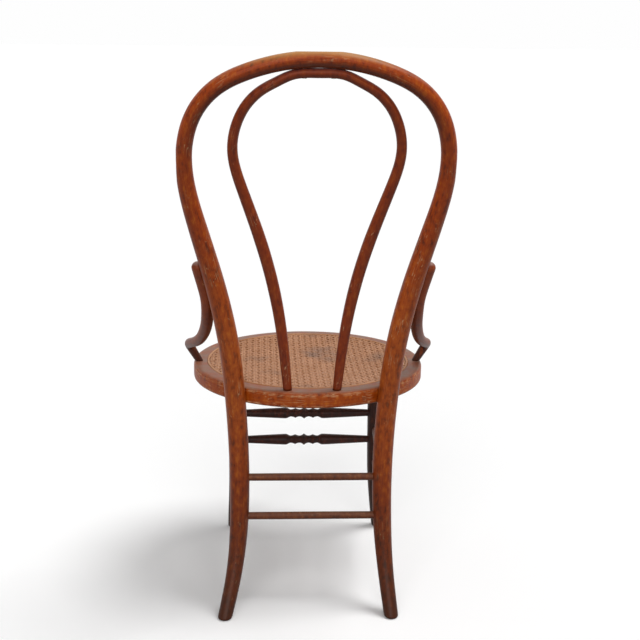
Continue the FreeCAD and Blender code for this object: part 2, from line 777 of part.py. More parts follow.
def leg_bolt(name, start, direction, length):
    """Add a bolt with a plain head, from the head's outer face inward."""
    return turned(name, (
        ("0", "0"), ("bolt_head_rod / 2", "0"), ("bolt_head_rod / 2", "bolt_head_height"),
        ("bolt_rod / 2", "bolt_head_height"), ("bolt_rod / 2", length), ("0", length),
    ), "V_Axis", start, direction)


def washer(name, start, direction):
    """Add the washer under a bolt's head."""
    hole = "bolt_rod / 2 + fit_gap"
    return turned(name, (
        (hole, "0"), ("washer_rod / 2", "0"), ("washer_rod / 2", "washer_thick"),
        (hole, "washer_thick"),
    ), "V_Axis", start, direction)


# Putting the chair together

hoop = back_hoop_rod()
inner = inner_hoop_rod()
crown_level = measure(CROWN)
seat_level = measure("seat_height")
rim_level = measure(RIM_MIDDLE)
clearance = measure("fit_gap")

# The bores of each piece, filled in as the parts that enter it are added
bores = {name: [] for name in ("seat_frame", "back_hoop", "inner_hoop")}
for side, sign in SIDES:
    bores[f"front_leg_{side}"] = []
    bores[f"hip_brace_{side}"] = []


def rear_leg_at(height, sign):
    """Return the rear leg's centre and diameter at a height."""
    centre = hoop.centre_at(height, sign)
    return centre, hoop.diameter_at(centre)


def socket(name, radius, depth, mouth, inward):
    """Add the bore that takes a tenon, open past its mouth."""
    spare = measure("rim_top_slope")
    bore = rod(name, f"{radius} + fit_gap", f"{depth} + fit_gap + rim_top_slope",
               mouth - inward * spare, inward)
    bores["seat_frame"].append(bore)


def with_tenon(solid, radius, depth, mouth):
    """Return a bent rod with a round tenon below its foot."""
    depth = measure(depth)
    return solid.fuse(Part.makeCylinder(measure(radius), depth, mouth - UP * depth))


# Stretchers, each between two legs, staggered in height from side to side
front_heights = ("front_upper_height", "front_lower_height")
rear_heights = ("rear_upper_height", "rear_lower_height")
side_heights = ("side_upper_height", "side_lower_height")
for level, alias in zip(("upper", "lower"), front_heights):
    height = measure(alias)
    ends = turned_stretcher(f"front_stretcher_{level}", front_leg_at(height, 1),
                            front_leg_at(height, -1))
    for (side, sign), bore in zip(SIDES, ends):
        bores[f"front_leg_{side}"].append(bore)
for level, alias in zip(("upper", "lower"), rear_heights):
    height = measure(alias)
    bores["back_hoop"] += plain_stretcher(f"rear_stretcher_{level}", rear_leg_at(height, 1),
                                          rear_leg_at(height, -1))
for side, sign in SIDES:
    for level, alias in zip(("upper", "lower"), side_heights):
        height = measure(alias)
        front, rear = plain_stretcher(f"side_stretcher_{side}_{level}",
                                      front_leg_at(height, sign), rear_leg_at(height, sign))
        bores[f"front_leg_{side}"].append(front)
        bores["back_hoop"].append(rear)

# Bolts that hold the rear legs to the rim, from inside it
bolts = []
washers = []
for side, sign in SIDES:
    leg = rear_leg_at(rim_level, sign)[0]
    middle = at(0, 0, rim_level)
    outward = (leg - middle).normalize()
    face = measure("sqrt((seat_radius - rim_width)^2 - (washer_rod / 2)^2) - fit_gap / 10")
    seat_of_head = face - measure("washer_thick")
    head = middle + outward * (seat_of_head - measure("bolt_head_height"))
    length = f"leg_bolt_{side}_length"
    work_out(length, (leg - head).Length + measure("bolt_past_centre"), "worked out")
    bolts.append(leg_bolt(f"leg_bolt_{side}", head, outward, length))
    washers.append(washer(f"leg_bolt_washer_{side}", middle + outward * seat_of_head, outward))
    bore = rod(f"leg_bolt_{side}_bore", "bolt_rod / 2 + fit_gap", f"{length} + fit_gap",
               head, outward)
    bores["seat_frame"].append(bore)
    bores["back_hoop"].append(bore)
group("leg_bolts", bolts)
group("leg_bolt_washers", washers)


def at_the_crown(point):
    """Tell whether a point of a hoop lies near its crown."""
    return point.z > inner_crown() - measure("hoop_rod_crown")


# Screws that hold the inner hoop under the crown of the back
crown_screws = []
for side, sign in SIDES:
    spread = sign * measure("crown_screw_spread")
    centre = inner.crossing("x", spread, at_the_crown)
    across = hoop.crossing("x", spread, at_the_crown)
    upward = (across - centre).normalize()
    width = inner.diameter_at(centre)
    start = centre - upward * (width / 2 - measure("screw_sink"))
    length = f"crown_screw_{side}_length"
    reach = (across - start).Length - hoop.diameter_at(across) / 2
    work_out(length, reach + measure("screw_bite"), "worked out from the two hoops")
    crown_screws.append(screw(f"crown_screw_{side}", length, start, upward))
    bore = screw_bore(f"crown_screw_{side}_bore", length, start, upward)
    bores["inner_hoop"].append(bore)
    bores["back_hoop"].append(bore)
group("crown_screws", crown_screws)

# Hip braces, each seated on the hoop and held there by a screw
brace_screws = []
blanks = {}
for side, sign in SIDES:
    brace, foot = brace_rod(hoop, sign)

    def along_brace(point, sign=sign):
        """Tell whether a point of the hoop lies beside this brace."""
        above_seat = point.z - seat_level
        return point.x * sign > 0 and 0 < above_seat < measure("brace_top_rise")

    solid = brace.solid().cut(hoop.solid(clearance, along_brace))
    solid = with_tenon(solid, "brace_tenon_rod / 2", "brace_tenon_depth", foot)
    blanks[f"hip_brace_{side}"] = shaped(f"hip_brace_{side}_bent", solid)
    socket(f"hip_brace_{side}_socket", "brace_tenon_rod / 2", "brace_tenon_depth",
           foot, UP * -1)
    height = seat_level + measure("brace_top_rise - brace_screw_drop")
    centre, width, outward = beside_hoop(hoop, sign, height)
    start = centre + outward * (width / 2 - measure("screw_sink"))
    length = f"brace_screw_{side}_length"
    reach = (start - hoop.centre_at(height, sign)).Length - hoop.diameter_at(start) / 2
    work_out(length, reach + measure("screw_bite"), "worked out from the two rods")
    brace_screws.append(screw(f"brace_screw_{side}", length, start, outward * -1))
    bore = screw_bore(f"brace_screw_{side}_bore", length, start, outward * -1)
    bores[f"hip_brace_{side}"].append(bore)
    bores["back_hoop"].append(bore)
group("brace_screws", brace_screws)

# The inner hoop, its crown close under the crown of the back hoop
solid = inner.solid()
for side, sign in SIDES:
    foot = at(sign * measure("inner_foot_spread"), inner_foot(), seat_level)
    solid = with_tenon(solid, "inner_tenon_rod / 2", "inner_tenon_depth", foot)
    socket(f"inner_hoop_{side}_socket", "inner_tenon_rod / 2", "inner_tenon_depth",
           foot, UP * -1)
blanks["inner_hoop"] = shaped("inner_hoop_bent", solid)
blanks["back_hoop"] = shaped("back_hoop_bent", hoop.solid())

# Front legs and the seat, saddled for the rear legs
for side, sign in SIDES:
    blanks[f"front_leg_{side}"] = front_leg(side, sign)
    top = front_leg_at(measure(RIM_FOOT), sign)[0]
    socket(f"front_leg_{side}_socket", "front_tenon_rod / 2", "front_tenon_depth", top, UP)

    def past_rim(point, sign=sign):
        """Tell whether a point of the hoop lies close above or below the rim."""
        return point.x * sign > 0 and abs(point.z - rim_level) < 4 * measure("rim_height")

    saddle = hoop.solid(clearance, past_rim)
    bores["seat_frame"].append(shaped(f"seat_saddle_{side}", saddle))
blanks["seat_frame"] = seat_ring()
DOC.recompute()
for label, tools in bores.items():
    keep(cut(label, blanks[label], tools), label)
keep(cane_panel(), "cane_panel")
keep(cane_spline(), "cane_spline")
DOC.recompute()

# Every piece is checked before it is written
for thing in DOC.Objects:
    if {"Invalid", "Error"} & set(thing.State):
        raise RuntimeError(f"{thing.Label} did not recompute")
os.makedirs("parts", exist_ok=True)
for piece in PIECES:
    shape = piece.Shape
    if shape.isNull() or not shape.isValid():
        raise RuntimeError(f"{piece.Label} is not a valid shape")
    shape.exportStep(f"parts/{piece.Label}.step")
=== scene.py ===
"""Looks of a bentwood bistro chair with a caned round seat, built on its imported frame.

Metres, +Z up, the chair's front faces -Y and the sitter's left is +X. Each group of
pieces is a class that knows its own sizes and makes its own surfaces, and each finish
is a class that makes its own material.
"""

import logging
import math
from dataclasses import dataclass
from enum import Enum
from typing import Callable, Sequence

import bpy
import numpy as np
from mathutils import Matrix, Vector


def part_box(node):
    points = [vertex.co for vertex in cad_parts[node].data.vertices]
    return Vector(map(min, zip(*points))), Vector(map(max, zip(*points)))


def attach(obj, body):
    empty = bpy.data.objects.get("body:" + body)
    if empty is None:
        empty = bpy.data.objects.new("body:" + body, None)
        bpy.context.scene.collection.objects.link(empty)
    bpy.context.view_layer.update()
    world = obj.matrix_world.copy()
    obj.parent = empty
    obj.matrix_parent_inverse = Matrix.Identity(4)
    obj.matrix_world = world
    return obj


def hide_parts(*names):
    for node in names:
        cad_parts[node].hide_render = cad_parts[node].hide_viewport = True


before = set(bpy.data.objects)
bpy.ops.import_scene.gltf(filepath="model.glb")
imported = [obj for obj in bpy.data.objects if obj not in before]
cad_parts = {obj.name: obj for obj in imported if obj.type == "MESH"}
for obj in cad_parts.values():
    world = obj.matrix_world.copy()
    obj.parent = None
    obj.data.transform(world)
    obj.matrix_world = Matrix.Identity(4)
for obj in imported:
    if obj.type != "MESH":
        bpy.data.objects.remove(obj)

LOG = logging.getLogger("bistro_chair")
MM = 0.001
BODY = "root"
GRAIN = "grain_place"

Tree, Socket = bpy.types.NodeTree, bpy.types.NodeSocket
Material, Piece = bpy.types.Material, bpy.types.Object
Table = Sequence[Sequence[float]]


# Numbers shared with the frame

SEAT_HEIGHT = 394 * MM
SEAT_RADIUS = 208 * MM
RIM_HEIGHT = 28 * MM
RIM_FOOT = SEAT_HEIGHT - RIM_HEIGHT
RIM_MIDDLE = SEAT_HEIGHT - RIM_HEIGHT / 2
BAND_WIDTH = 24 * MM
SEAT_Y = -51.325 * MM
SOCKET_RING = SEAT_RADIUS - 13 * MM
# The hoop's centre at its crown; the solid's straight crown lies 1.9 mm lower
CROWN = 937.35 * MM
CROWN_ROD = 25.3 * MM
HOOP_REACH = 298 * MM
LEG_SETBACK = 179.45 * MM
FIT_GAP = 0.3 * MM
SIDES = (("left", 1), ("right", -1))
LEVELS = ("upper", "lower")


class Slot(Enum):
    """The record's material slots for the pieces made here, passed along but not given to them."""

    BENTWOOD = "bentwood"
    RIM = "seat_rim_wood"
    STRETCHER = "stretcher_wood"
    CANE = "cane"
    SPLINE = "spline_reed"


# Materials

def linear(code: str) -> tuple[float, float, float, float]:
    """Turn an sRGB hex code into linear RGBA.

    Args:
        code: Six hex digits.

    Returns:
        Red, green, blue and alpha, each from 0 to 1.
    """
    parts = [int(code[place:place + 2], 16) / 255 for place in (0, 2, 4)]
    light = [p / 12.92 if p <= 0.04045 else ((p + 0.055) / 1.055) ** 2.4 for p in parts]
    return (*light, 1.0)


def add(tree: Tree, kind: str, feeds: dict | tuple = (), out: int | str = 0,
        **settings: object) -> Socket | None:
    """Add one shader node with its settings and links.

    Args:
        tree: The node tree that it goes in.
        kind: Blender's name of the node, without its first word ShaderNode.
        feeds: Inputs in their order, or by number or name, each a value or the socket
            that feeds it. A MapRange's are its value, where that starts and ends, and
            what it then gives, 0 to 1 if left out.
        out: The output to return, by number or name.
        **settings: The node's own properties.

    Returns:
        The chosen output's socket, or None where the node has no output.
    """
    node = tree.nodes.new("ShaderNode" + kind)
    for key, value in settings.items():
        setattr(node, key, value)
    for key, value in feeds.items() if isinstance(feeds, dict) else enumerate(feeds):
        if isinstance(value, Socket):
            tree.links.new(value, node.inputs[key])
        else:
            node.inputs[key].default_value = value
    return node.outputs[out] if node.outputs else None


def empty_material(name: str) -> tuple[Material, Tree]:
    """Return a new material and its node tree with nothing in it.

    Args:
        name: Name of the material.

    Returns:
        The material and its tree.
    """
    material = bpy.data.materials.new(name)
    material.use_nodes = True
    material.node_tree.nodes.clear()
    return material, material.node_tree


def distance(tree: Tree, height: Socket, level: float) -> Socket:
    """Return how far a height is from a level, up or down.

    Args:
        tree: The node tree.
        height: Height in metres.
        level: The level in metres.

    Returns:
        The distance's socket.
    """
    away = add(tree, "Math", (height, level), operation="SUBTRACT")
    return add(tree, "Math", (away,), operation="ABSOLUTE")


def layered(tree: Tree, colour: Socket | tuple,
            layers: Sequence[tuple[Socket, float, str]]) -> Socket:
    """Lay colours over a colour, one after the other.

    Args:
        tree: The node tree.
        colour: The colour beneath.
        layers: The share, the strength and the sRGB colour of each.

    Returns:
        The colour's socket.
    """
    for share, most, code in layers:
        part = add(tree, "Math", (share, most), operation="MULTIPLY", use_clamp=True)
        colour = add(tree, "Mix", {0: part, 6: colour, 7: linear(code)}, 2, data_type="RGBA")
    return colour


@dataclass(frozen=True)
class Cloud:
    """A cloudy pattern around 0.5 whose patches have a real size.

    Attributes:
        size: Millimetres of a patch along each axis.
        shift: Moves it, so that it isn't like the material's other patterns.
        detail: Octaves of finer patches in it.
    """

    size: tuple[float, float, float]
    shift: float = 0.0
    detail: float = 3.0
    ROUGHNESS = 0.58

    def on(self, tree: Tree, place: Socket, seed: float = 0.0) -> Socket:
        """Add the pattern.

        Args:
            tree: The node tree.
            place: Coordinates in metres.
            seed: Moves the pattern, so that two pieces aren't alike.

        Returns:
            The pattern's socket.
        """
        move = seed + self.shift
        spot = add(tree, "Mapping", {"Vector": place,
                                     "Scale": tuple(1 / MM / side for side in self.size),
                                     "Location": (move, move * 0.7, move * 1.3)})
        return add(tree, "TexNoise", {"Vector": spot, "Scale": 1.0, "Detail": self.detail,
                                      "Roughness": self.ROUGHNESS})


@dataclass(frozen=True)
class ShellackedBeech:
    """Beech, steam-bent or turned, stained brown and rubbed with shellac long ago.

    To the eye: a saturated brown with soft mottling, faint grain along the piece, pale
    specks where the shellac is gone, dust and a painted greyish sheen on upper faces, and painted
    shade on undersides.

    Attributes:
        name: Name of the material.
        pores, stain, bright: sRGB colours of the grain, from its pores to its figure.
        bare: sRGB colour of wood where the shellac is rubbed away.
        wear: How much of it is rubbed, 0 to 1.
        worn_edges: Heights in metres of edges that are rubbed pale.
        dust, dust_and_sheen_most: sRGB colour and strength of dust with a painted greyish sheen on
            upper faces.
        faded, fade: sRGB colour of wood bleached by light, with a painted highlight on
        upward faces, and the heights in metres between which it sets in.
        thin, thin_at, thin_most: sRGB colour of wood whose stain is rubbed thin, the
            height in metres where it is thinnest, and its strength.
        shade, under: sRGB colour and strength of the painted shade on undersides.
        grime, low_darkening_span, low_darkening_most: sRGB colour of the darkening towards the
        bottom, which on the braces is painted shade under the knee, the heights in metres where it
        starts and where it is full, and its strength.
        roughness: Of old shellac, 0.4 to 0.5.
        gloss: Specular level; dull shellac reflects less than its IOR of 1.5 gives.
    """

    name: str
    pores: str
    stain: str
    bright: str
    bare: str
    wear: float
    worn_edges: tuple = ()
    dust_and_sheen: str = "94705f"
    dust_and_sheen_most: float = 0.35
    faded_highlight: str = "bb8648"
    highlight_span: tuple = ()
    thin: str = "c8702c"
    thin_at: float = 0.0
    thin_most: float = 0.0
    # Colour of the painted shade on undersides
    shade: str = "32140a"
    under_shade: float = 0.5
    low_darkening: str = "26130a"
    low_darkening_span: tuple = ()
    low_darkening_most: float = 0.0
    roughness: float = 0.46
    gloss: float = 0.2

    # Beech's own fibres are finer than a pixel, so they are drawn 1.2 mm wide
    FIBRE = Cloud((1.2, 1.2, 45), 0, 4.0)
    STREAK = Cloud((7, 7, 150), 4)
    MOTTLE = Cloud((7, 7, 14), 9, 4.0)
    SPECK = Cloud((3, 3, 8), 17)
    CLUSTER = Cloud((30, 30, 45), 23, 2.0)
    DENT = Cloud((11, 11, 11), 31, 2.0)
    DASH = Cloud((3, 3, 9), 41)
    BLOTCH = Cloud((26, 26, 26), 51, 4.0)
    SCRATCH = Cloud((2, 2, 30), 61, 2.0)
    # Shares of fibres, streaks and mottling in the tone, and the tones of the colours
    TONE = (0.25, 0.25, 0.5)
    RAMP = (0.37, 0.505, 0.65)
    # How steeply a face looks up where the painted highlight lies, which stands also for
    # bleaching, where dust with a painted sheen lies, and where painted shade falls
    SUNNY, UPPER, LOWER = (0.2, 0.85), (0.38, 0.95), (0.05, -0.55)
    # Thin stain is full within 50 mm of its height and gone 220 mm from it
    THIN_REACH, THIN_UNEVEN = (0.22, 0.05), (0.42, 0.62, 0.4)
    # How unevenly dust and its painted sheen lie, and the strengths of the painted highlight and
    # of bare wood
    DUST_AND_SHEEN_UNEVEN = (0.36, 0.60, 0.45)
    FADED_MOST, BARE_MOST = 0.85, 0.8
    # The mottling makes the edge of the darkening towards the bottom ragged, by this many metres
    # from end to end
    RAGGED = 0.16
    SPECKED, SCRATCHED, DASHED = (0.60, 0.70), (0.57, 0.67), (0.45, 0.62)
    CLUSTERED, BROKEN = (0.62, 0.78), (0.40, 0.62, 0.15)
    CLUSTER_WEAR = 0.25
    # An edge's wear is full 0.5 mm from its height and gone 4.5 mm from it
    EDGE_REACH = (0.0045, 0.0005)
    # Mottled and bare wood are rougher; the heights of grain and dents are in metres
    ROUGH_MOTTLE, ROUGH_BARE = 0.18, 0.2
    GRAIN_DEEP, DENT_DEEP = 0.00006, 0.0003

    def colour(self, tree: Tree, seed: float, along: Socket, spot: Socket, fibre: Socket,
               mottle: Socket, rubbed: Socket) -> Socket:
        """Return the wood's colour.

        The tone is a weighted sum of the fibres, broad streaks and the mottling, and
        goes through the three colours. A painted highlight that stands also for fading, thin
        stain, rubbed specks, dust with a painted sheen on upper faces, painted shade on undersides
        and a darkening towards the bottom are laid over it, in that order.

        Args:
            tree: The node tree.
            seed: Moves the patterns.
            along: Grain coordinates.
            spot: Object coordinates.
            fibre, mottle, rubbed: The patterns that the relief shares.

        Returns:
            The colour's socket.
        """
        tone: Socket | float = 0.0
        for pattern, share in zip((fibre, self.STREAK.on(tree, along, seed), mottle), self.TONE):
            tone = add(tree, "Math", (pattern, share, tone), operation="MULTIPLY_ADD")
        figure = add(tree, "ValToRGB", (tone,))
        ramp = figure.node.color_ramp
        ramp.interpolation = "EASE"
        low, middle, high = self.RAMP
        ramp.elements[0].position, ramp.elements[1].position = low, high
        ramp.elements[0].color, ramp.elements[1].color = linear(self.pores), linear(self.bright)
        ramp.elements.new(middle).color = linear(self.stain)
        height = add(tree, "SeparateXYZ", (spot,), 2)
        rise = add(tree, "SeparateXYZ", (add(tree, "TexCoord", (), "Normal"),), 2)
        layers: list[tuple[Socket, float, str]] = []
        # Painted highlight on the crown's upward faces, standing also for bleaching by light
        if self.highlight_span:
            faded_highlight = add(tree, "MapRange", (height, *self.highlight_span))
            highlit = add(tree, "MapRange", (rise, *self.SUNNY))
            faded_highlight = add(tree, "Math", (faded_highlight, highlit), operation="MULTIPLY")
            layers.append((faded_highlight, self.FADED_MOST, self.faded_highlight))
        if self.thin_most:
            away = distance(tree, height, self.thin_at)
            thin = add(tree, "MapRange", (away, *self.THIN_REACH))
            uneven = add(tree, "MapRange", (tone, *self.THIN_UNEVEN))
            thin = add(tree, "Math", (thin, uneven), operation="MULTIPLY")
            layers.append((thin, self.thin_most, self.thin))
        layers.append((rubbed, self.BARE_MOST, self.bare))
        # Dust with a painted greyish sheen on upper faces
        upper = add(tree, "MapRange", (rise, *self.UPPER))
        blotch = self.BLOTCH.on(tree, spot, seed)
        uneven = add(tree, "MapRange", (blotch, *self.DUST_AND_SHEEN_UNEVEN))
        upper = add(tree, "Math", (upper, uneven), operation="MULTIPLY")
        layers.append((upper, self.dust_and_sheen_most, self.dust_and_sheen))
        # Painted shade: undersides darken towards the shade colour
        lower = add(tree, "MapRange", (rise, *self.LOWER))
        layers.append((lower, self.under_shade, self.shade))
        # Darker towards the bottom; on the braces this is painted shade under the knee
        if self.low_darkening_most:
            ragged = add(tree, "Math", (mottle, self.RAGGED, height), operation="MULTIPLY_ADD")
            starts, full = (level + self.RAGGED / 2 for level in self.low_darkening_span)
            low = add(tree, "MapRange", (ragged, starts, full))
            layers.append((low, self.low_darkening_most, self.low_darkening))
        return layered(tree, figure, layers)

    def rubbed(self, tree: Tree, seed: float, along: Socket, spot: Socket) -> Socket:
        """Return where the shellac is gone: specks in clusters, and worn edges.

        A speck is 3 mm wide and 8 mm long with the grain, clusters are 30 mm across,
        and an edge is worn within 4.5 mm of its height, in dashes. A scratch is 2 mm
        wide and 30 mm long, and as pale as the wear is strong.

        Args:
            tree: The node tree.
            seed: Moves the patterns.
            along: Grain coordinates.
            spot: Object coordinates.

        Returns:
            The share that is bare wood.
        """
        cluster = self.CLUSTER.on(tree, spot, seed)
        specks = add(tree, "MapRange", (self.SPECK.on(tree, along, seed), *self.SPECKED))
        low, high = (end - self.CLUSTER_WEAR * self.wear for end in self.CLUSTERED)
        where = add(tree, "MapRange", (cluster, low, high))
        bare = add(tree, "Math", (specks, where), operation="MULTIPLY")
        scratch = self.SCRATCH.on(tree, along, seed)
        scratch = add(tree, "MapRange", (scratch, *self.SCRATCHED, 0.0, self.wear))
        scratch = add(tree, "Math", (scratch, where), operation="MULTIPLY")
        bare = add(tree, "Math", (bare, scratch), operation="MAXIMUM")
        dashes = add(tree, "MapRange", (self.DASH.on(tree, along, seed), *self.DASHED))
        broken = add(tree, "MapRange", (cluster, *self.BROKEN))
        height = add(tree, "SeparateXYZ", (spot,), 2)
        for edge in self.worn_edges:
            near = add(tree, "MapRange", (distance(tree, height, edge), *self.EDGE_REACH))
            part = add(tree, "Math", (near, dashes), operation="MULTIPLY")
            part = add(tree, "Math", (part, broken), operation="MULTIPLY")
            bare = add(tree, "Math", (bare, part), operation="ADD", use_clamp=True)
        return bare

    def material(self, seed: float) -> Material:
        """Make the material.

        Args:
            seed: Moves the patterns, so that two pieces aren't alike.

        Returns:
            The material.
        """
        material, tree = empty_material(self.name)
        along = add(tree, "Attribute", (), 1, attribute_name=GRAIN)
        spot = add(tree, "TexCoord", (), "Object")
        fibre = self.FIBRE.on(tree, along, seed)
        mottle = self.MOTTLE.on(tree, spot, seed)
        rubbed = self.rubbed(tree, seed, along, spot)
        colour = self.colour(tree, seed, along, spot, fibre, mottle, rubbed)
        rough = add(tree, "Math", (mottle, self.ROUGH_MOTTLE,
                                   self.roughness - self.ROUGH_MOTTLE / 2),
                    operation="MULTIPLY_ADD")
        rough = add(tree, "Math", (rubbed, self.ROUGH_BARE, rough), operation="MULTIPLY_ADD")
        fine = add(tree, "Bump", {"Height": fibre, "Distance": self.GRAIN_DEEP})
        relief = add(tree, "Bump", {"Height": self.DENT.on(tree, spot, seed),
                                    "Distance": self.DENT_DEEP, "Normal": fine})
        shader = add(tree, "BsdfPrincipled", {
            "Base Color": colour, "Roughness": rough, "Normal": relief, "IOR": 1.5,
            "Specular IOR Level": self.gloss})
        add(tree, "OutputMaterial", (shader,))
        return material


# Back hoop: a painted highlight, standing also for bleaching, on the crown's upward faces, dust
# with a painted sheen on upper faces, painted shade on undersides, and darker towards the floor
HOOP_WOOD = ShellackedBeech(
    "shellacked_bent_beech_back", "5c1e03", "963904", "af5610", "c99b70", 0.50,
    dust_and_sheen="a98a70", dust_and_sheen_most=0.30, highlight_span=(0.922, 0.948), thin_at=0.44, thin_most=0.35,
    under_shade=0.8, low_darkening="301708", low_darkening_span=(0.47, 0.02), low_darkening_most=0.92,
    roughness=0.40, gloss=0.16)
# Inner hoop: dust with a painted mauve sheen on upper faces, and painted shade on undersides
INNER_WOOD = ShellackedBeech(
    "shellacked_bent_beech_inner", "581a05", "7c2d06", "90420f", "b98a63", 0.35,
    dust_and_sheen="94666a", dust_and_sheen_most=0.5, under_shade=0.6, roughness=0.40, gloss=0.16)
# Front legs: the same bent beech made nearly black, as painted shade in the seat's shadow, and
# darker towards the floor
SHADED_LEG_WOOD = ShellackedBeech(
    "shellacked_bent_beech_front_painted_shade", "1c0a05", "30140a", "4a2412", "6d4a33", 0.20,
    dust_and_sheen_most=0.2, low_darkening_span=(0.25, 0.03), low_darkening_most=0.6)
# Braces: dust with a painted grey sheen on the knees' tops, and below the knee darkened as painted
# shade
BRACE_WOOD = ShellackedBeech(
    "shellacked_bent_beech_brace", "48190a", "6e2e0b", "8a4318", "a8784f", 0.35,
    dust_and_sheen="a38c83", dust_and_sheen_most=0.9, thin="8e3a12", thin_at=0.60, thin_most=0.5,
    low_darkening="2c120a", low_darkening_span=(0.435, 0.415), low_darkening_most=0.75)
# Rim: the greyish colour of its top band is dust with a painted sheen; the edges of its outer face
# are worn
RIM_WOOD = ShellackedBeech(
    "shellacked_beech_rim", "6c2903", "923c04", "ac5916", "d2a276", 0.65,
    worn_edges=(0.368, 0.3885), dust_and_sheen="846353", dust_and_sheen_most=1.0, gloss=0.16)
# Front stretchers: the same beech made nearly black, as painted shade in the seat's shadow
SHADED_TURNED_WOOD = ShellackedBeech(
    "shellacked_turned_beech_painted_shade", "1c0b07", "33150c", "5a2817", "6b4632", 0.15,
    dust_and_sheen="54352b", roughness=0.42)
DOWEL_WOOD = ShellackedBeech(
    "shellacked_beech_dowel", "3c1a0d", "5c2c13", "7c4622", "a07656", 0.40)


@dataclass(frozen=True)
class SplitCane:
    """Split rattan cane, woven raw and darkened by age and use.

    To the eye: glossy tan skin with fine lines along each strand, browner strands
    among paler ones, and grey-brown stains where the seat was sat on.

    Attributes:
        name: Name of the material.
        skin, aged, line, stain: sRGB colours of clean skin, brown strands, the lines
            along them and the stains.
        stained: Strength of the stains, 0 to 1.
        sat_on: Middle of the largest stain in metres.
        stain_reach: How far the largest stain reaches along each axis, in metres.
    """

    name: str
    skin: str
    aged: str
    line: str
    stain: str
    stained: float
    sat_on: tuple[float, float, float] = (-0.036, -0.112, 0.388)
    stain_reach: tuple[float, float, float] = (0.060, 0.080, 1)

    LINES = Cloud((0.5, 0.5, 25))
    STRAND = Cloud((9, 9, 80), 7, 2.0)
    BLOT = Cloud((70, 70, 70), 3.6)
    AGED, LINED, BLOTTED = (0.38, 0.64), (0.48, 0.72), (0.58, 0.86)
    LINED_MOST, SAT_ON = 0.25, (1.0, 0.2, 0.0, 0.28)
    ROUGH_BLOT, ROUGHNESS, LINE_DEEP, GLOSS = 0.2, 0.42, 0.00006, 0.25

    def material(self) -> Material:
        """Make the material: lines 0.5 mm apart, tone by strand, stains 70 mm wide.

        The largest stain fades out to its reach from its middle, unevenly.

        Returns:
            The material.
        """
        material, tree = empty_material(self.name)
        along = add(tree, "Attribute", (), 1, attribute_name=GRAIN)
        spot = add(tree, "TexCoord", (), "Object")
        lines = self.LINES.on(tree, along)
        blot = self.BLOT.on(tree, spot)
        brown = add(tree, "MapRange", (self.STRAND.on(tree, along), *self.AGED))
        lined = add(tree, "MapRange", (lines, *self.LINED))
        away = add(tree, "VectorMath", (spot, self.sat_on), operation="SUBTRACT")
        away = add(tree, "VectorMath", (away, tuple(1 / reach for reach in self.stain_reach)),
                   operation="MULTIPLY")
        away = add(tree, "VectorMath", (away,), "Value", operation="LENGTH")
        largest = add(tree, "MapRange", (away, *self.SAT_ON), interpolation_type="SMOOTHSTEP")
        spread = add(tree, "Math", (blot, largest), operation="ADD")
        blots = add(tree, "MapRange", (spread, *self.BLOTTED))
        colour = layered(tree, linear(self.skin), (
            (brown, 1.0, self.aged), (lined, self.LINED_MOST, self.line),
            (blots, self.stained, self.stain)))
        rough = add(tree, "Math", (blot, self.ROUGH_BLOT, self.ROUGHNESS),
                    operation="MULTIPLY_ADD")
        relief = add(tree, "Bump", {"Height": lines, "Distance": self.LINE_DEEP})
        shader = add(tree, "BsdfPrincipled", {
            "Base Color": colour, "Roughness": rough, "Normal": relief, "IOR": 1.5,
            "Specular IOR Level": self.GLOSS})
        add(tree, "OutputMaterial", (shader,))
        return material


SEAT_CANE = SplitCane("split_cane", "c18e6b", "a8744f", "744529", "6d5a52", 0.75)
# The lowest strands: the same cane coloured darker, as painted shade under the strands over them
SHADED_UNDER_CANE = SplitCane("split_cane_under_painted_shade", "9c6643", "7c4a2c", "5c331e", "5d4a42", 0.75)
GROOVE_REED = SplitCane("round_reed", "b98660", "9c6844", "6b3c22", "6c4a3a", 0.30)


@dataclass(frozen=True)
class OldSteel:
    """Plain steel screws, bolts and washers, dulled and a little rusty.

    To the eye: small grey-brown spots of dull metal in the wood.
    """

    name: str = "dull_rusty_steel"
    bare: str = "8d8a86"
    rust: str = "5b4030"

    PATCH, RUSTED = Cloud((4, 4, 4), 0, 4.0), (0.45, 0.65)
    ROUGH_RUST, ROUGHNESS = 0.35, 0.4

    def material(self) -> Material:
        """Make the material: rust in patches 4 mm wide over dull metal.

        Returns:
            The material.
        """
        material, tree = empty_material(self.name)
        spot = add(tree, "TexCoord", (), "Object")
        rust = add(tree, "MapRange", (self.PATCH.on(tree, spot), *self.RUSTED))
        colour = layered(tree, linear(self.bare), ((rust, 1.0, self.rust),))
        metal = add(tree, "Math", (1.0, rust), operation="SUBTRACT")
        rough = add(tree, "Math", (rust, self.ROUGH_RUST, self.ROUGHNESS),
                    operation="MULTIPLY_ADD")
        shader = add(tree, "BsdfPrincipled", {"Base Color": colour, "Metallic": metal,
                                              "Roughness": rough})
        add(tree, "OutputMaterial", (shader,))
        return material


# Surfaces worked out as grids

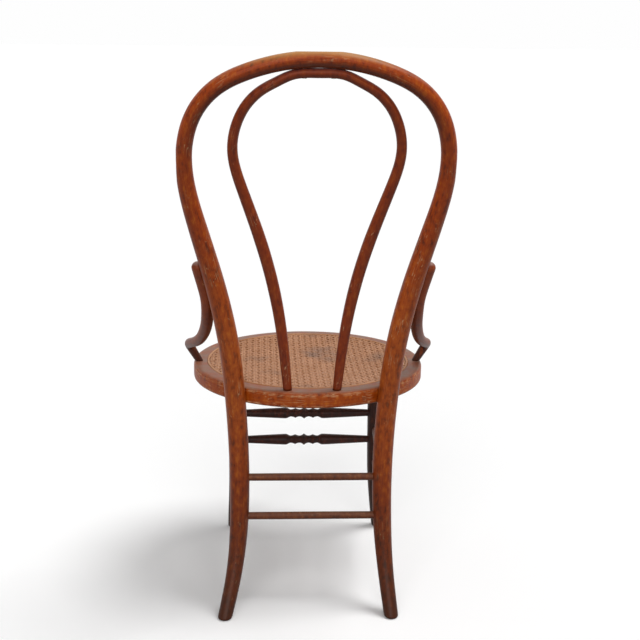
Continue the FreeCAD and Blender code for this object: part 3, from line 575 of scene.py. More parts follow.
def smooth_path(points: Table, count: int) -> np.ndarray:
    """Sample the natural cubic spline through points, evenly along its length.

    Between two points the curve is a cubic in the chord length; its second
    derivatives solve one linear system, and are zero at both ends.

    Args:
        points: The points it passes through.
        count: How many samples to return.

    Returns:
        An array of count points.
    """
    knots = np.asarray(points, float)
    step = np.linalg.norm(np.diff(knots, axis=0), axis=1)
    place = np.concatenate(([0], np.cumsum(step)))
    size = len(knots)
    system = np.eye(size)
    right = np.zeros_like(knots)
    row = np.arange(1, size - 1)
    system[row, row - 1] = step[:-1]
    system[row, row] = 2 * (step[:-1] + step[1:])
    system[row, row + 1] = step[1:]
    slope = np.diff(knots, axis=0) / step[:, None]
    right[1:-1] = 6 * (slope[1:] - slope[:-1])
    second = np.linalg.solve(system, right)

    def at(where: np.ndarray) -> np.ndarray:
        """Return the spline's points.

        Args:
            where: Chord lengths from the first point.

        Returns:
            The points, one in each row.
        """
        piece = np.clip(np.searchsorted(place, where) - 1, 0, size - 2)
        gap = step[piece][:, None]
        ahead = (place[piece + 1] - where)[:, None]
        behind = (where - place[piece])[:, None]
        return ((second[piece] * ahead ** 3 + second[piece + 1] * behind ** 3) / (6 * gap)
                + (knots[piece] / gap - second[piece] * gap / 6) * ahead
                + (knots[piece + 1] / gap - second[piece + 1] * gap / 6) * behind)

    chords = np.linspace(0, place[-1], count * 4)
    run = run_along(at(chords))
    return at(np.interp(np.linspace(0, run[-1], count), run, chords))


def run_along(path: np.ndarray) -> np.ndarray:
    """Return the length along a path at each of its samples.

    Args:
        path: Samples, one in each row.

    Returns:
        Lengths from its start.
    """
    return np.concatenate(([0], np.cumsum(np.linalg.norm(np.diff(path, axis=0), axis=1))))


def unit(vectors: np.ndarray) -> np.ndarray:
    """Return vectors scaled to length 1.

    Args:
        vectors: One vector in each row.

    Returns:
        The same vectors, each of length 1.
    """
    return vectors / np.linalg.norm(vectors, axis=-1, keepdims=True)


def radius_at(height: np.ndarray | float, thickness: Table) -> np.ndarray:
    """Return a rod's radius at heights, straight between the rows of its table.

    Args:
        height: Heights in metres.
        thickness: Height and diameter in millimetres, lowest first.

    Returns:
        Radii in metres.
    """
    table = np.array(thickness) * MM
    return np.interp(height, table[:, 0], table[:, 1]) / 2


def make_piece(name: str, points: np.ndarray, faces: list[list[int]], place: np.ndarray,
               material: Material) -> Piece:
    """Make a piece from points and faces.

    Args:
        name: Name of the piece.
        points: Its points, in any shape that ends in 3.
        faces: Its faces, as numbers of its points.
        place: Grain coordinates of the points: across, across and along.
        material: The piece's material.

    Returns:
        The object, riding on the chair's body.
    """
    mesh = bpy.data.meshes.new(name)
    mesh.from_pydata(points.reshape(-1, 3).tolist(), [], faces)
    mesh.shade_smooth()
    layer = mesh.attributes.new(GRAIN, "FLOAT_VECTOR", "POINT")
    layer.data.foreach_set("vector", place.reshape(-1).astype(np.float32))
    mesh.materials.append(material)
    mesh.validate()
    piece = bpy.data.objects.new(name, mesh)
    bpy.context.collection.objects.link(piece)
    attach(piece, BODY)
    LOG.info("%s: %d faces", name, len(faces))
    return piece


def grid_piece(name: str, grid: np.ndarray, place: np.ndarray, material: Material,
               closed: bool = False) -> Piece:
    """Make a piece from a grid of points that closes round its second axis.

    Args:
        name: Name of the piece.
        grid: Points, rings by sides by 3.
        place: Grain coordinates for the same points.
        material: The piece's material.
        closed: Whether the last ring joins the first; if not, a face closes each.

    Returns:
        The object.
    """
    rings, sides = grid.shape[:2]
    ring = np.arange(rings if closed else rings - 1)[:, None]
    side = np.arange(sides)[None, :]
    after = (ring + 1) % rings
    turn = (side + 1) % sides
    faces = np.stack([ring * sides + side, ring * sides + turn,
                      after * sides + turn, after * sides + side], axis=-1).reshape(-1, 4).tolist()
    if not closed:
        faces.append(list(range(sides))[::-1])
        faces.append(list(range((rings - 1) * sides, rings * sides)))
    return make_piece(name, grid, faces, place, material)


@dataclass
class Rod:
    """A round rod swept along a path, with a radius at each sample.

    Attributes:
        path: Samples of the centre line, count by 3.
        radius: Radius at each sample.
        across: Direction that the rod is never parallel to, for its cross-sections.
        level: How far from each end its cut turns level, start and end, in metres.
        rounding: Rounding of the edge at each end, in metres.
        sides: Points round the rod.
    """

    path: np.ndarray
    radius: np.ndarray
    across: tuple[float, float, float]
    level: tuple[float, float] = (0.0, 0.0)
    rounding: tuple[float, float] = (0.0, 0.0)
    sides: int = 40

    def directions(self) -> np.ndarray:
        """Return the direction of each cross-section, level near the cut ends.

        Within reach of a cut end a heading h becomes h (1 - s) + upright s, where s is
        the square of 1 - the distance from the end over that reach.

        Returns:
            A unit vector for each sample.
        """
        heading = unit(np.gradient(self.path, axis=0))
        run = run_along(self.path)
        for length, reach, index in ((self.level[0], run, 0),
                                     (self.level[1], run[-1] - run, -1)):
            if length:
                upright = np.array([0, 0, np.sign(heading[index, 2])])
                share = np.clip(1 - reach / length, 0, 1)[:, None] ** 2
                heading = unit(heading * (1 - share) + upright * share)
        return heading

    def rounded(self) -> np.ndarray:
        """Return the radius at each sample, drawn in over each rounded end.

        At a distance d from an end with rounding e the radius is less by
        e - sqrt(e squared - (e - d) squared), a quarter circle.

        Returns:
            The radii.
        """
        run = run_along(self.path)
        radius = self.radius.copy()
        for edge, reach in ((self.rounding[0], run), (self.rounding[1], run[-1] - run)):
            if edge:
                inside = np.clip(edge - reach, 0, edge)
                radius -= edge - np.sqrt(edge ** 2 - inside ** 2)
        return radius

    def build(self, name: str, material: Material, slot: Slot,
              shape: Callable[[np.ndarray], np.ndarray] | None = None) -> Piece:
        """Make the rod's surface: a circle round each sample of the path.

        Args:
            name: Name of the piece.
            material: Its material.
            slot: The record's slot; not used.
            shape: Optional change of the surface's points.

        Returns:
            The object.
        """
        heading = self.directions()
        side = unit(np.cross(heading, np.asarray(self.across, float)))
        up = np.cross(side, heading)
        turn = np.linspace(0, 2 * np.pi, self.sides, endpoint=False)
        radius = self.rounded()[:, None, None]
        circle = (side[:, None, :] * np.cos(turn)[None, :, None]
                  + up[:, None, :] * np.sin(turn)[None, :, None])
        grid = self.path[:, None, :] + circle * radius
        if shape:
            grid = shape(grid)
        place = np.empty_like(grid)
        place[..., 0] = radius[..., 0] * np.cos(turn)
        place[..., 1] = radius[..., 0] * np.sin(turn)
        place[..., 2] = run_along(self.path)[:, None]
        return grid_piece(name, grid, place, material)


def with_close_ends(path: np.ndarray, edge: tuple[float, float]) -> np.ndarray:
    """Add samples within the rounding of each end of a path.

    Args:
        path: Even samples.
        edge: Rounding at the start and at the end, in metres.

    Returns:
        The path with six more samples at each rounded end.
    """
    share = 1 - np.cos(np.linspace(0, np.pi / 2, 7)[:-1])
    for length in edge:
        if length:
            heading = unit(path[1] - path[0])
            kept = path[np.linalg.norm(path - path[0], axis=1) > length]
            path = np.concatenate([path[0] + heading * (share * length)[:, None], kept])
        path = path[::-1]
    return path


def turned_surface(name: str, outline: np.ndarray, material: Material,
                   steps: int = 288) -> Piece:
    """Turn a closed outline about the seat's upright axis.

    Args:
        name: Name of the piece.
        outline: Closed run of (distance from the axis, height) points.
        material: Its material.
        steps: Copies of the outline round the axis.

    Returns:
        The object.
    """
    turn = np.linspace(0, 2 * np.pi, steps, endpoint=False)[:, None]
    out, high, run = np.broadcast_arrays(outline[:, 0], outline[:, 1],
                                         turn * outline[:, 0].mean())
    grid = np.stack([out * np.cos(turn), SEAT_Y + out * np.sin(turn), high], axis=-1)
    place = np.stack([out, high, run], axis=-1)
    return grid_piece(name, grid, place, material, closed=True)


def rounded_outline(corners: Table, steps: int = 7) -> np.ndarray:
    """Return a closed outline with each corner rounded by its own radius.

    A corner between two edges is replaced by the arc of a parabola that touches
    both at the radius from the corner.

    Args:
        corners: (across, up, radius) of each corner, in order.
        steps: Points on each rounding.

    Returns:
        The outline's points.
    """
    table = np.array(corners, float)
    spots, radii = table[:, :2], table[:, 2:]
    before = spots + unit(np.roll(spots, 1, axis=0) - spots) * radii
    after = spots + unit(np.roll(spots, -1, axis=0) - spots) * radii
    share = np.linspace(0, 1, steps)[None, :, None]
    arcs = (before[:, None] * (1 - share) ** 2 + spots[:, None] * 2 * share * (1 - share)
            + after[:, None] * share ** 2)
    return arcs.reshape(-1, 2)


# The back

def lean(height: np.ndarray | float) -> np.ndarray | float:
    """Return how far behind the seat's centre the hoops stand at a height.

    The line starts at the rear legs' setback at the middle of the rim and leans
    back by 0.62 of the reach in a straight line and 0.38 of it as a parabola.

    Args:
        height: Height in metres.

    Returns:
        Distance behind the seat's centre in metres.
    """
    share = (height - RIM_MIDDLE) / (CROWN - RIM_MIDDLE)
    return LEG_SETBACK + (HOOP_REACH - LEG_SETBACK) * (0.62 * share + 0.38 * share ** 2)


def both_sides(half: Table) -> np.ndarray:
    """Return points from one foot over the crown to the other, in the chair's frame.

    Args:
        half: Points from the crown down one side, measured from the seat's centre.

    Returns:
        Those points and their mirror images, in order.
    """
    side = np.asarray(half, float) + (0, SEAT_Y, 0)
    return np.concatenate([side[::-1], (side * (-1, 1, 1))[1:]])


@dataclass(frozen=True)
class Bend:
    """How a hoop bends from its crown down one side to its foot.

    Attributes:
        spread: Half width at its widest.
        drop: From the crown down to the widest.
        shares: How the crown bends, as shares of spread and of drop.
        taper: How the side draws in, as shares of the way to the foot.
        foot: Half distance of its feet.
    """

    spread: float
    drop: float
    shares: Table
    taper: Table
    foot: float

    def points(self, crown: float, low: float) -> list[tuple[float, float]]:
        """Return (across, height) down one side of a hoop, from its crown.

        Args:
            crown: Height of its crown.
            low: Height of its feet.

        Returns:
            The points.
        """
        widest = crown - self.drop
        side = [(0, crown)]
        side += [(self.spread * out, crown - self.drop * down) for out, down in self.shares]
        side.append((self.spread, widest))
        side += [(self.spread + (self.foot - self.spread) * out, widest + (low - widest) * down)
                 for out, down in self.taper]
        return side + [(self.foot, low)]


@dataclass
class BackHoop:
    """The one-piece back: rear legs and outer hoop in one bent rod."""

    bend: Bend = Bend(204.7 * MM, 154 * MM,
                      ((0.53, 0.128), (0.75, 0.278), (0.906, 0.51), (0.975, 0.74)),
                      ((0.035, 0.095), (0.22, 0.25), (0.58, 0.50), (0.855, 0.75)), 129.5 * MM)
    # Across, behind the legs' setback and up
    waist: tuple[float, float, float] = (122.3 * MM, 4 * MM, 215 * MM)
    foot: tuple[float, float, float] = (142 * MM, 60 * MM, 0)
    # The calf's share of the way from waist to foot, and of the waist's height
    calf: tuple[float, float] = (0.45, 0.31)
    # The old legs are warped to the sitter's left: left foot and calf, right calf and foot
    warp: tuple = (6 * MM, 1.5 * MM, 0.5 * MM, 3.5 * MM)
    rounding: float = 4.5 * MM
    level: float = 70 * MM
    samples: int = 380
    sides: int = 48
    # Height and diameter in millimetres, from the floor to the crown
    thickness: tuple = ((0, 24.6), (15, 25), (67, 27), (95, 28.4), (122, 30), (160, 32),
                        (190, 33), (240, 34), (370, 34.6), (500, 34.2), (590, 32.8),
                        (667, 30.6), (720, 28.4), (745, 27.4), (800, 25.4), (950, 25.3))

    def centre_line(self, count: int) -> np.ndarray:
        """Return samples of the rod's centre line.

        Args:
            count: How many.

        Returns:
            The samples, from the left foot to the right one.
        """
        half = [(x, lean(z), z) for x, z in self.bend.points(CROWN, RIM_MIDDLE)]
        waist, foot = np.array([self.waist, self.foot]) + (0, LEG_SETBACK, 0)
        calf = waist + (foot - waist) * self.calf[0]
        calf[2] = waist[2] * self.calf[1]
        points = both_sides(half + [waist, calf, foot])
        points[[0, 1, -2, -1], 0] += self.warp
        return smooth_path(points, count)

    def at(self, height: float, sign: int) -> np.ndarray:
        """Return the rod's centre at a height, the right side mirrored from the left.

        Args:
            height: Height in metres.
            sign: 1 for the left side, -1 for the right.

        Returns:
            The point.
        """
        line = self.centre_line(900)
        line = line[line[:, 0] > 0]
        line = line[np.argsort(line[:, 2])]
        spot = [np.interp(height, line[:, 2], line[:, axis]) for axis in range(3)]
        return np.array(spot) * (sign, 1, 1)

    def build(self) -> None:
        """Make the hoop.

        The solid's crown and widest sides are straight runs, so this smooth curve passes
        its box: by up to 1.9 mm on the crown, 1.5 mm at the widest sides and 0.5 mm
        elsewhere. What passes is cut off at the box, which leaves flats on the rod.
        """
        ends = (self.rounding, self.rounding)
        path = with_close_ends(self.centre_line(self.samples), ends)
        low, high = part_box("back_hoop")
        rod = Rod(path, radius_at(path[:, 2], self.thickness), (0, 1, 0),
                  (self.level, self.level), ends, self.sides)
        piece = rod.build("bent_back_hoop", HOOP_WOOD.material(1.0), Slot.BENTWOOD,
                          lambda grid: np.clip(grid, low, high))
        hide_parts("back_hoop")


@dataclass
class InnerHoop:
    """The thinner hoop inside the back, its feet in the rim."""

    bend: Bend = Bend(129.9 * MM, 117 * MM,
                      ((0.29, 0.02), (0.49, 0.117), (0.656, 0.22), (0.84, 0.42), (0.94, 0.63)),
                      ((0.144, 0.139), (0.444, 0.33), (0.70, 0.53), (0.873, 0.735)), 41.5 * MM)
    crown_rod: float = 15 * MM
    level: float = 40 * MM
    samples: int = 260
    sides: int = 36
    # Height and diameter in millimetres
    thickness: tuple = ((394, 14.8), (430, 16.2), (502, 18.3), (570, 19.5), (650, 19.6),
                        (760, 17.2), (810, 16), (880, 16), (915, 15))

    def centre_line(self) -> np.ndarray:
        """Return the points that the rod passes through.

        It leans as the back does, eased in a straight line to meet the rim's sockets.

        Returns:
            The points, from the left foot to the right one.
        """
        crown = CROWN - CROWN_ROD / 2 - FIT_GAP - self.crown_rod / 2
        foot_back = math.sqrt(SOCKET_RING ** 2 - self.bend.foot ** 2)
        error = foot_back - lean(SEAT_HEIGHT)
        return both_sides([(x, lean(z) + error * (crown - z) / (crown - SEAT_HEIGHT), z)
                           for x, z in self.bend.points(crown, SEAT_HEIGHT)])

    def build(self) -> None:
        """Make the inner hoop."""
        path = smooth_path(self.centre_line(), self.samples)
        rod = Rod(path, radius_at(path[:, 2], self.thickness), (0, 1, 0),
                  (self.level, self.level), sides=self.sides)
        piece = rod.build("bent_inner_hoop", INNER_WOOD.material(3.0), Slot.BENTWOOD)
        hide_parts("inner_hoop")


def guided(poles: np.ndarray, count: int) -> np.ndarray:
    """Return samples of the clamped cubic B-spline of a chain of poles.

    Each sample is worked out by averaging neighbouring poles three times, as in the
    usual knot recurrence, for all samples at once.

    Args:
        poles: The poles, one in each row.
        count: How many samples.

    Returns:
        The samples.
    """
    size = len(poles)
    knots = np.concatenate([np.zeros(3), np.linspace(0, 1, size - 2), np.ones(3)])
    where = np.linspace(0, 1 - 1e-9, count)
    piece = np.clip(np.searchsorted(knots, where, "right") - 1, 3, size - 1)
    work = np.stack([poles[piece - 3 + shift] for shift in range(4)])
    for level in range(1, 4):
        for shift in range(3, level - 1, -1):
            low = knots[piece - 3 + shift]
            high = knots[piece + 1 + shift - level]
            share = ((where - low) / (high - low))[:, None]
            work[shift] = (1 - share) * work[shift - 1] + share * work[shift]
    return work[3]


@dataclass
class HipBraces:
    """The two bent braces from the hoop's sides down to the rim."""

    # Degrees forward of straight outward, where it leaves the hoop and at its top
    turn: tuple[float, float] = (42, 28)
    # Where it leaves the hoop and its top, over the seat
    rise: tuple[float, float] = (140 * MM, 221 * MM)
    # Poles beside the hoop, as shares of the way from where it leaves to its top
    beside: tuple = (1, 0.8, 0.5, 0.2)
    knee: tuple[float, float, float] = (218 * MM, 10 * MM, 34 * MM)
    foot_back: float = 10 * MM
    foot_out: float = 3 * MM
    bed: float = 3 * MM
    rod_top: float = 20.6 * MM
    rounding: float = 9.8 * MM
    level: float = 12 * MM
    samples: int = 130
    sides: int = 32
    # How it sweeps from the hoop to its knee, as shares forward, down and outward
    sweep: tuple = ((0.08, 0.26, 0.00), (0.25, 0.50, 0.09), (0.49, 0.765, 0.37),
                    (0.77, 0.915, 0.79))
    # Poles between knee and foot, as a share from the knee and one from the foot
    under_knee: tuple[float, float] = (0.45, 0.2)
    # Height over the seat and diameter in millimetres
    thickness: tuple = ((0, 13.2), (10, 14), (34, 16.8), (60, 18.6), (90, 20.2), (120, 20.6),
                        (225, 20.6))

    def poles(self, hoop: BackHoop, sign: int) -> np.ndarray:
        """Return the poles that guide one brace, from its top to its foot.

        Args:
            hoop: The hoop that it lies on.
            sign: 1 for the left brace, -1 for the right.

        Returns:
            The poles.
        """
        leave, top = (SEAT_HEIGHT + rise for rise in self.rise)
        chain = []
        for share in self.beside:
            height = leave + (top - leave) * share
            bed = np.interp(height, (leave, top), (-FIT_GAP, self.bed))
            turn = math.radians(np.interp(height, (leave, top), self.turn))
            outward = np.array([math.cos(turn), -math.sin(turn), 0])
            apart = radius_at(height, hoop.thickness) + self.rod_top / 2 - bed
            chain.append(hoop.at(height, 1) + outward * apart)
        start = chain[-1]
        knee = np.array(self.knee) + (0, SEAT_Y, SEAT_HEIGHT)
        chain += [start + (knee - start) * (out, forward, down)
                  for forward, down, out in self.sweep]
        across = math.sqrt(SOCKET_RING ** 2 - self.foot_back ** 2) + self.foot_out
        foot = np.array([across, self.foot_back + SEAT_Y, SEAT_HEIGHT])
        chain += [knee, knee + (foot - knee) * self.under_knee[0],
                  foot + (knee - foot) * self.under_knee[1], foot]
        return np.array(chain) * (sign, 1, 1)

    def build(self, hoop: BackHoop) -> None:
        """Make both braces, each hollowed where it lies on the hoop.

        Their knees pass the solids' boxes by up to 0.4 mm. That is cut off, which
        leaves a flat on each.

        Args:
            hoop: The hoop that they lie on.
        """
        line = hoop.centre_line(1600)[::4]
        keep_out = radius_at(line[:, 2], hoop.thickness) + FIT_GAP
        boxes = [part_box(f"hip_brace_{side}") for side, _ in SIDES]
        widest = min(max(abs(corner[0]) for corner in box) for box in boxes)

        def hollow(grid: np.ndarray) -> np.ndarray:
            """Push points that are inside the hoop out to its surface.

            Args:
                grid: The brace's points.

            Returns:
                The points, none in the hoop or wider than the box.
            """
            grid[..., 0] = np.clip(grid[..., 0], -widest, widest)
            flat = grid.reshape(-1, 3)
            near = np.linalg.norm(flat[:, None, :] - line[None], axis=2).argmin(1)
            away = flat - line[near]
            clear = keep_out[near][:, None]
            inside = np.linalg.norm(away, axis=1)[:, None] < clear
            return np.where(inside, line[near] + unit(away) * clear, flat).reshape(grid.shape)

        for number, (side, sign) in enumerate(SIDES):
            path = guided(self.poles(hoop, sign), self.samples)
            path = with_close_ends(path, (self.rounding, 0))
            rod = Rod(path, radius_at(path[:, 2] - SEAT_HEIGHT, self.thickness), (1, 0, 0),
                      (0, self.level), (self.rounding, 0), self.sides)
            piece = rod.build(f"bent_brace_{side}", BRACE_WOOD.material(5.0 + number),
                              Slot.BENTWOOD, hollow)
            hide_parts(f"hip_brace_{side}")


# The seat

@dataclass(frozen=True)
class Strands:
    """Parallel strands of the weave, all alike.

    Attributes:
        name: Name of the piece.
        angle: Direction of the strands from +X, in degrees.
        level: Mean height over the weave's lowest strands.
        wave: Half of their rise and fall as they cross the others.
        shift: Phase of the wave, in radians.
        width: Width of a strand.
    """

    name: str
    angle: float
    level: float
    wave: float
    shift: float
    width: float


@dataclass
class Seat:
    """The rim, the woven cane and the reed that holds it."""

    rim_width: float = 35 * MM
    groove_width: float = 6.5 * MM
    groove_depth: float = 6.5 * MM
    cane_thick: float = 1.6 * MM
    reed_crown: float = 1.0 * MM
    ledge: float = 2.2 * MM
    pitch: float = 11.3 * MM
    strand: float = 2.45 * MM
    pair_gap: float = 2.9 * MM
    diagonal: float = 2.6 * MM
    thick: float = 1.4 * MM
    sag: float = 8.5 * MM
    # The lowest strands' tops under the seat's, and all ends past the groove's inner edge
    lowest: float = 1.3 * MM
    tuck: float = 1.2 * MM
    samples: int = 190

    def rim(self) -> None:
        """Make the rim with its rounded edges and its groove."""
        out, top = SEAT_RADIUS, SEAT_HEIGHT
        inner, low = out - self.rim_width, RIM_FOOT
        groove, floor = out - BAND_WIDTH, top - self.groove_depth
        outline = rounded_outline([
            (inner, low, 3 * MM), (out, low, 4.5 * MM), (out, top, 7 * MM),
            (groove, top, 0.5 * MM), (groove, floor, 0.5 * MM),
            (groove - self.groove_width, floor, 0.5 * MM),
            (groove - self.groove_width, top - self.ledge, 0.4 * MM),
            (inner, top - self.ledge, 1 * MM),
        ])
        piece = turned_surface("turned_rim", outline, RIM_WOOD.material(11.0))
        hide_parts("seat_frame")

    def reed(self) -> None:
        """Make the reed pressed into the groove over the cane's edge."""
        inner = SEAT_RADIUS - BAND_WIDTH - self.groove_width + FIT_GAP + self.cane_thick
        outer = SEAT_RADIUS - BAND_WIDTH - FIT_GAP
        low, top = SEAT_HEIGHT - self.groove_depth + FIT_GAP, SEAT_HEIGHT + self.reed_crown
        outline = rounded_outline([(inner, low, 0.4 * MM), (outer, low, 0.4 * MM),
                                   (outer, top, 2.0 * MM), (inner, top, 2.0 * MM)])
        piece = turned_surface("reed_ring", outline, GROOVE_REED.material())
        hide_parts("cane_spline")

    def lay(self, strands: Strands, offsets: np.ndarray, material: Material) -> Piece:
        """Lay parallel strands that rise and fall as they cross the others.

        Each strand is a flat ribbon of four edges. Its height over the lowest ones is
        its level + wave times the cosine of its way along, one period for each pitch,
        or for each pitch's diagonal, less the sag times 1 - the square of its distance
        from the seat's centre over the radius. Its two ends stop over the groove,
        beside the reed.

        Args:
            strands: What the strands are like.
            offsets: Distance of each strand from the seat's centre.
            material: Their material.

        Returns:
            The object.
        """
        edge = SEAT_RADIUS - BAND_WIDTH - self.groove_width + self.tuck
        offsets = offsets[np.abs(offsets) < edge * 0.995][:, None, None]
        along = np.linspace(-1, 1, self.samples)[:, None] * np.sqrt(edge ** 2 - offsets ** 2)
        angle = math.radians(strands.angle)
        cos, sin = math.cos(angle), math.sin(angle)
        period = self.pitch * (math.sqrt(2) if strands.angle % 90 else 1)
        high = strands.level - self.lowest
        high = high + strands.wave * np.cos(2 * np.pi * along / period + strands.shift)
        high = high - self.sag * (1 - (along ** 2 + offsets ** 2) / edge ** 2)
        section = np.array([(-0.5, 0), (-0.4, 1), (0.4, 1), (0.5, 0)])
        across, line = np.broadcast_arrays(offsets + section[:, 0] * strands.width, along)
        height = SEAT_HEIGHT - self.thick + high + section[:, 1] * self.thick
        points = np.stack([line * cos - across * sin, line * sin + across * cos + SEAT_Y,
                           height], axis=-1)
        # Each strand has its own stretch of the cane's pattern
        place = np.stack([across, height, line + offsets * 40], axis=-1)
        ring = (np.arange(len(offsets))[:, None, None] * self.samples
                + np.arange(self.samples - 1)[None, :, None]) * 4
        side = np.arange(4)
        turn = (side + 1) % 4
        quads = np.stack([ring + side, ring + turn, ring + 4 + turn, ring + 4 + side], axis=-1)
        return make_piece(strands.name, points, quads.reshape(-1, 4).tolist(), place,
                          material)

    def cane(self) -> None:
        """Weave the seat: paired strands both ways and single ones on both diagonals.

        Holes lie on a square grid of one pitch, the pairs run between them and
        the diagonals pass half a pitch beside them, which leaves eight-sided holes.
        The crosswise pairs lie lowest, coloured darker as painted shade, the lengthwise ones
        over them, and the diagonals on top.
        """
        lines = (np.arange(-17, 17) + 0.5) * self.pitch
        pairs = (lines[:, None] + np.array([-0.5, 0.5]) * self.pair_gap).reshape(-1)
        slant = (np.arange(-24, 24) + 0.5) * self.pitch / math.sqrt(2)
        upper, under_shade = SEAT_CANE.material(), SHADED_UNDER_CANE.material()
        straight = (0.15 * MM, self.strand)
        slanted = (0.28 * MM, self.diagonal)
        weave = (
            ("cane_lengthwise", 90, 0.8 * MM, straight, 0, pairs, upper),
            ("cane_crosswise", 0, 0, straight, math.pi, pairs, under_shade),
            ("cane_slant_left", 45, 1.0 * MM, slanted, 0, slant, upper),
            ("cane_slant_right", -45, 1.0 * MM, slanted, math.pi, slant, upper),
        )
        pieces = [self.lay(Strands(name, angle, level, wave, shift, width), offsets, material)
                  for name, angle, level, (wave, width), shift, offsets, material in weave]
        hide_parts("cane_panel")

    def build(self) -> None:
        """Make the rim, the cane and the reed."""
        self.rim()
        self.cane()
        self.reed()


# Legs and stretchers

@dataclass
class FrontLegs:
    """The two front legs, straight and then kicked out at the foot."""

    spread: float = 138 * MM
    foot_spread: float = 146 * MM
    kick: float = 13 * MM
    # From the seat's centre
    ring: float = 190.5 * MM
    rounding: float = 4 * MM
    level: float = 30 * MM
    samples: int = 90
    # The old frame leans to the sitter's right: at the floor and less at the rim
    lean: tuple[float, float] = (6.5 * MM, 1.5 * MM)
    # Share of the height, share of the kick and diameter in millimetres
    sections: tuple = ((0, 1, 24.6), (0.06, 0.82, 26.2), (0.13, 0.58, 27.6),
                       (0.25, 0.22, 29.4), (0.36, 0.03, 30.8), (0.6, 0, 31), (1, 0, 31.4))

    def at(self, height: np.ndarray | float, sign: int) -> np.ndarray:
        """Return the leg's centre at heights.

        Args:
            height: Heights in metres.
            sign: 1 for the left leg, -1 for the right.

        Returns:
            Points, one for each height.
        """
        table = np.array(self.sections)
        share = np.interp(np.asarray(height) / RIM_FOOT, table[:, 0], table[:, 1])
        across = self.spread + (self.foot_spread - self.spread) * share
        back = -math.sqrt(self.ring ** 2 - self.spread ** 2) - self.kick * share
        aside = np.interp(height, (0, RIM_FOOT), self.lean)
        return np.stack(np.broadcast_arrays(sign * across - aside, back + SEAT_Y, height),
                        axis=-1)

    def build(self) -> None:
        """Make both legs."""
        table = np.array(self.sections)
        for number, (side, sign) in enumerate(SIDES):
            path = smooth_path(self.at(table[:, 0] * RIM_FOOT, sign), self.samples)
            path = with_close_ends(path, (self.rounding, 0))
            radius = np.interp(path[:, 2] / RIM_FOOT, table[:, 0], table[:, 2] * MM) / 2
            rod = Rod(path, radius, (0, 1, 0), (self.level, self.level), (self.rounding, 0))
            piece = rod.build(f"front_leg_rod_{side}", SHADED_LEG_WOOD.material(14.0 + number),
                              Slot.BENTWOOD)
            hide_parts(f"front_leg_{side}")


@dataclass
class TurnedStretchers:
    """The two front stretchers with their barrels, ridges and hollows."""

    end: float = 13.4 * MM
    barrel: float = 21.4 * MM
    hollow: float = 14.6 * MM
    ridge: float = 19.8 * MM
    middle: float = 23.0 * MM
    drop: float = 1.5 * MM
    ridge_reach: float = 17.5 * MM
    barrel_reach: float = 36.5 * MM
    shoulder: float = 9.5 * MM
    # Straight runs before and after the taper, at the barrel and in the leg
    straight: tuple[float, float] = (4 * MM, 10 * MM)
    # Samples over the whole length and close ones, which go a little past the barrels'
    # thick ends
    samples: tuple[int, int] = (90, 261)
    fine_past: float = 6 * MM

    def radius(self, place: np.ndarray, half: float) -> np.ndarray:
        """Return the turning's radius along its length.

        Beside a ridge the hollow is 1 - (1 - t) to the power of 1.9 deep at the share
        t of the way to its lowest point. A barrel rounds in over its shoulder as the
        first quarter of a sine wave to the power of 1.5 does, and draws in to its end
        in a straight line.

        Args:
            place: Distances from the stretcher's middle.
            half: Half of the stretcher's length.

        Returns:
            The radius at each distance.
        """
        out = np.abs(place)
        low = self.hollow / 2
        radius = np.full_like(out, low)
        for top, rod in ((0.0, self.middle), (self.ridge_reach, self.ridge)):
            share = np.clip(np.abs(out - top) / (self.ridge_reach / 2), 0, 1)
            radius = np.maximum(radius, rod / 2 - (rod / 2 - low) * (1 - (1 - share) ** 1.9))
        rise = np.clip((out - self.barrel_reach + self.shoulder) / self.shoulder, 0, 1)
        shoulder = np.sin(np.pi / 2 * rise) ** 1.5
        radius = np.maximum(radius, low + (self.barrel / 2 - low) * shoulder)
        along = np.clip((out - self.barrel_reach - self.straight[0])
                        / (half - sum(self.straight) - self.barrel_reach), 0, 1)
        return np.where(out > self.barrel_reach,
                        self.end / 2 + (self.barrel - self.end) / 2 * (1 - along), radius)

    def build(self) -> None:
        """Make both front stretchers."""
        for number, level in enumerate(LEVELS):
            low, high = (np.array(corner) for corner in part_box(f"front_stretcher_{level}"))
            half = (high[0] - low[0]) / 2
            place = np.unique(np.concatenate([
                np.linspace(-half, half, self.samples[0]),
                np.linspace(-1, 1, self.samples[1]) * (self.barrel_reach + self.fine_past)]))
            path = (low + high) / 2 + place[:, None] * np.array([1, 0, 0]) - (0, 0, self.drop)
            rod = Rod(path, self.radius(place, half), (0, 1, 0))
            piece = rod.build(f"turned_stretcher_{level}", SHADED_TURNED_WOOD.material(20.0 + number),
                              Slot.STRETCHER)
            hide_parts(f"front_stretcher_{level}")


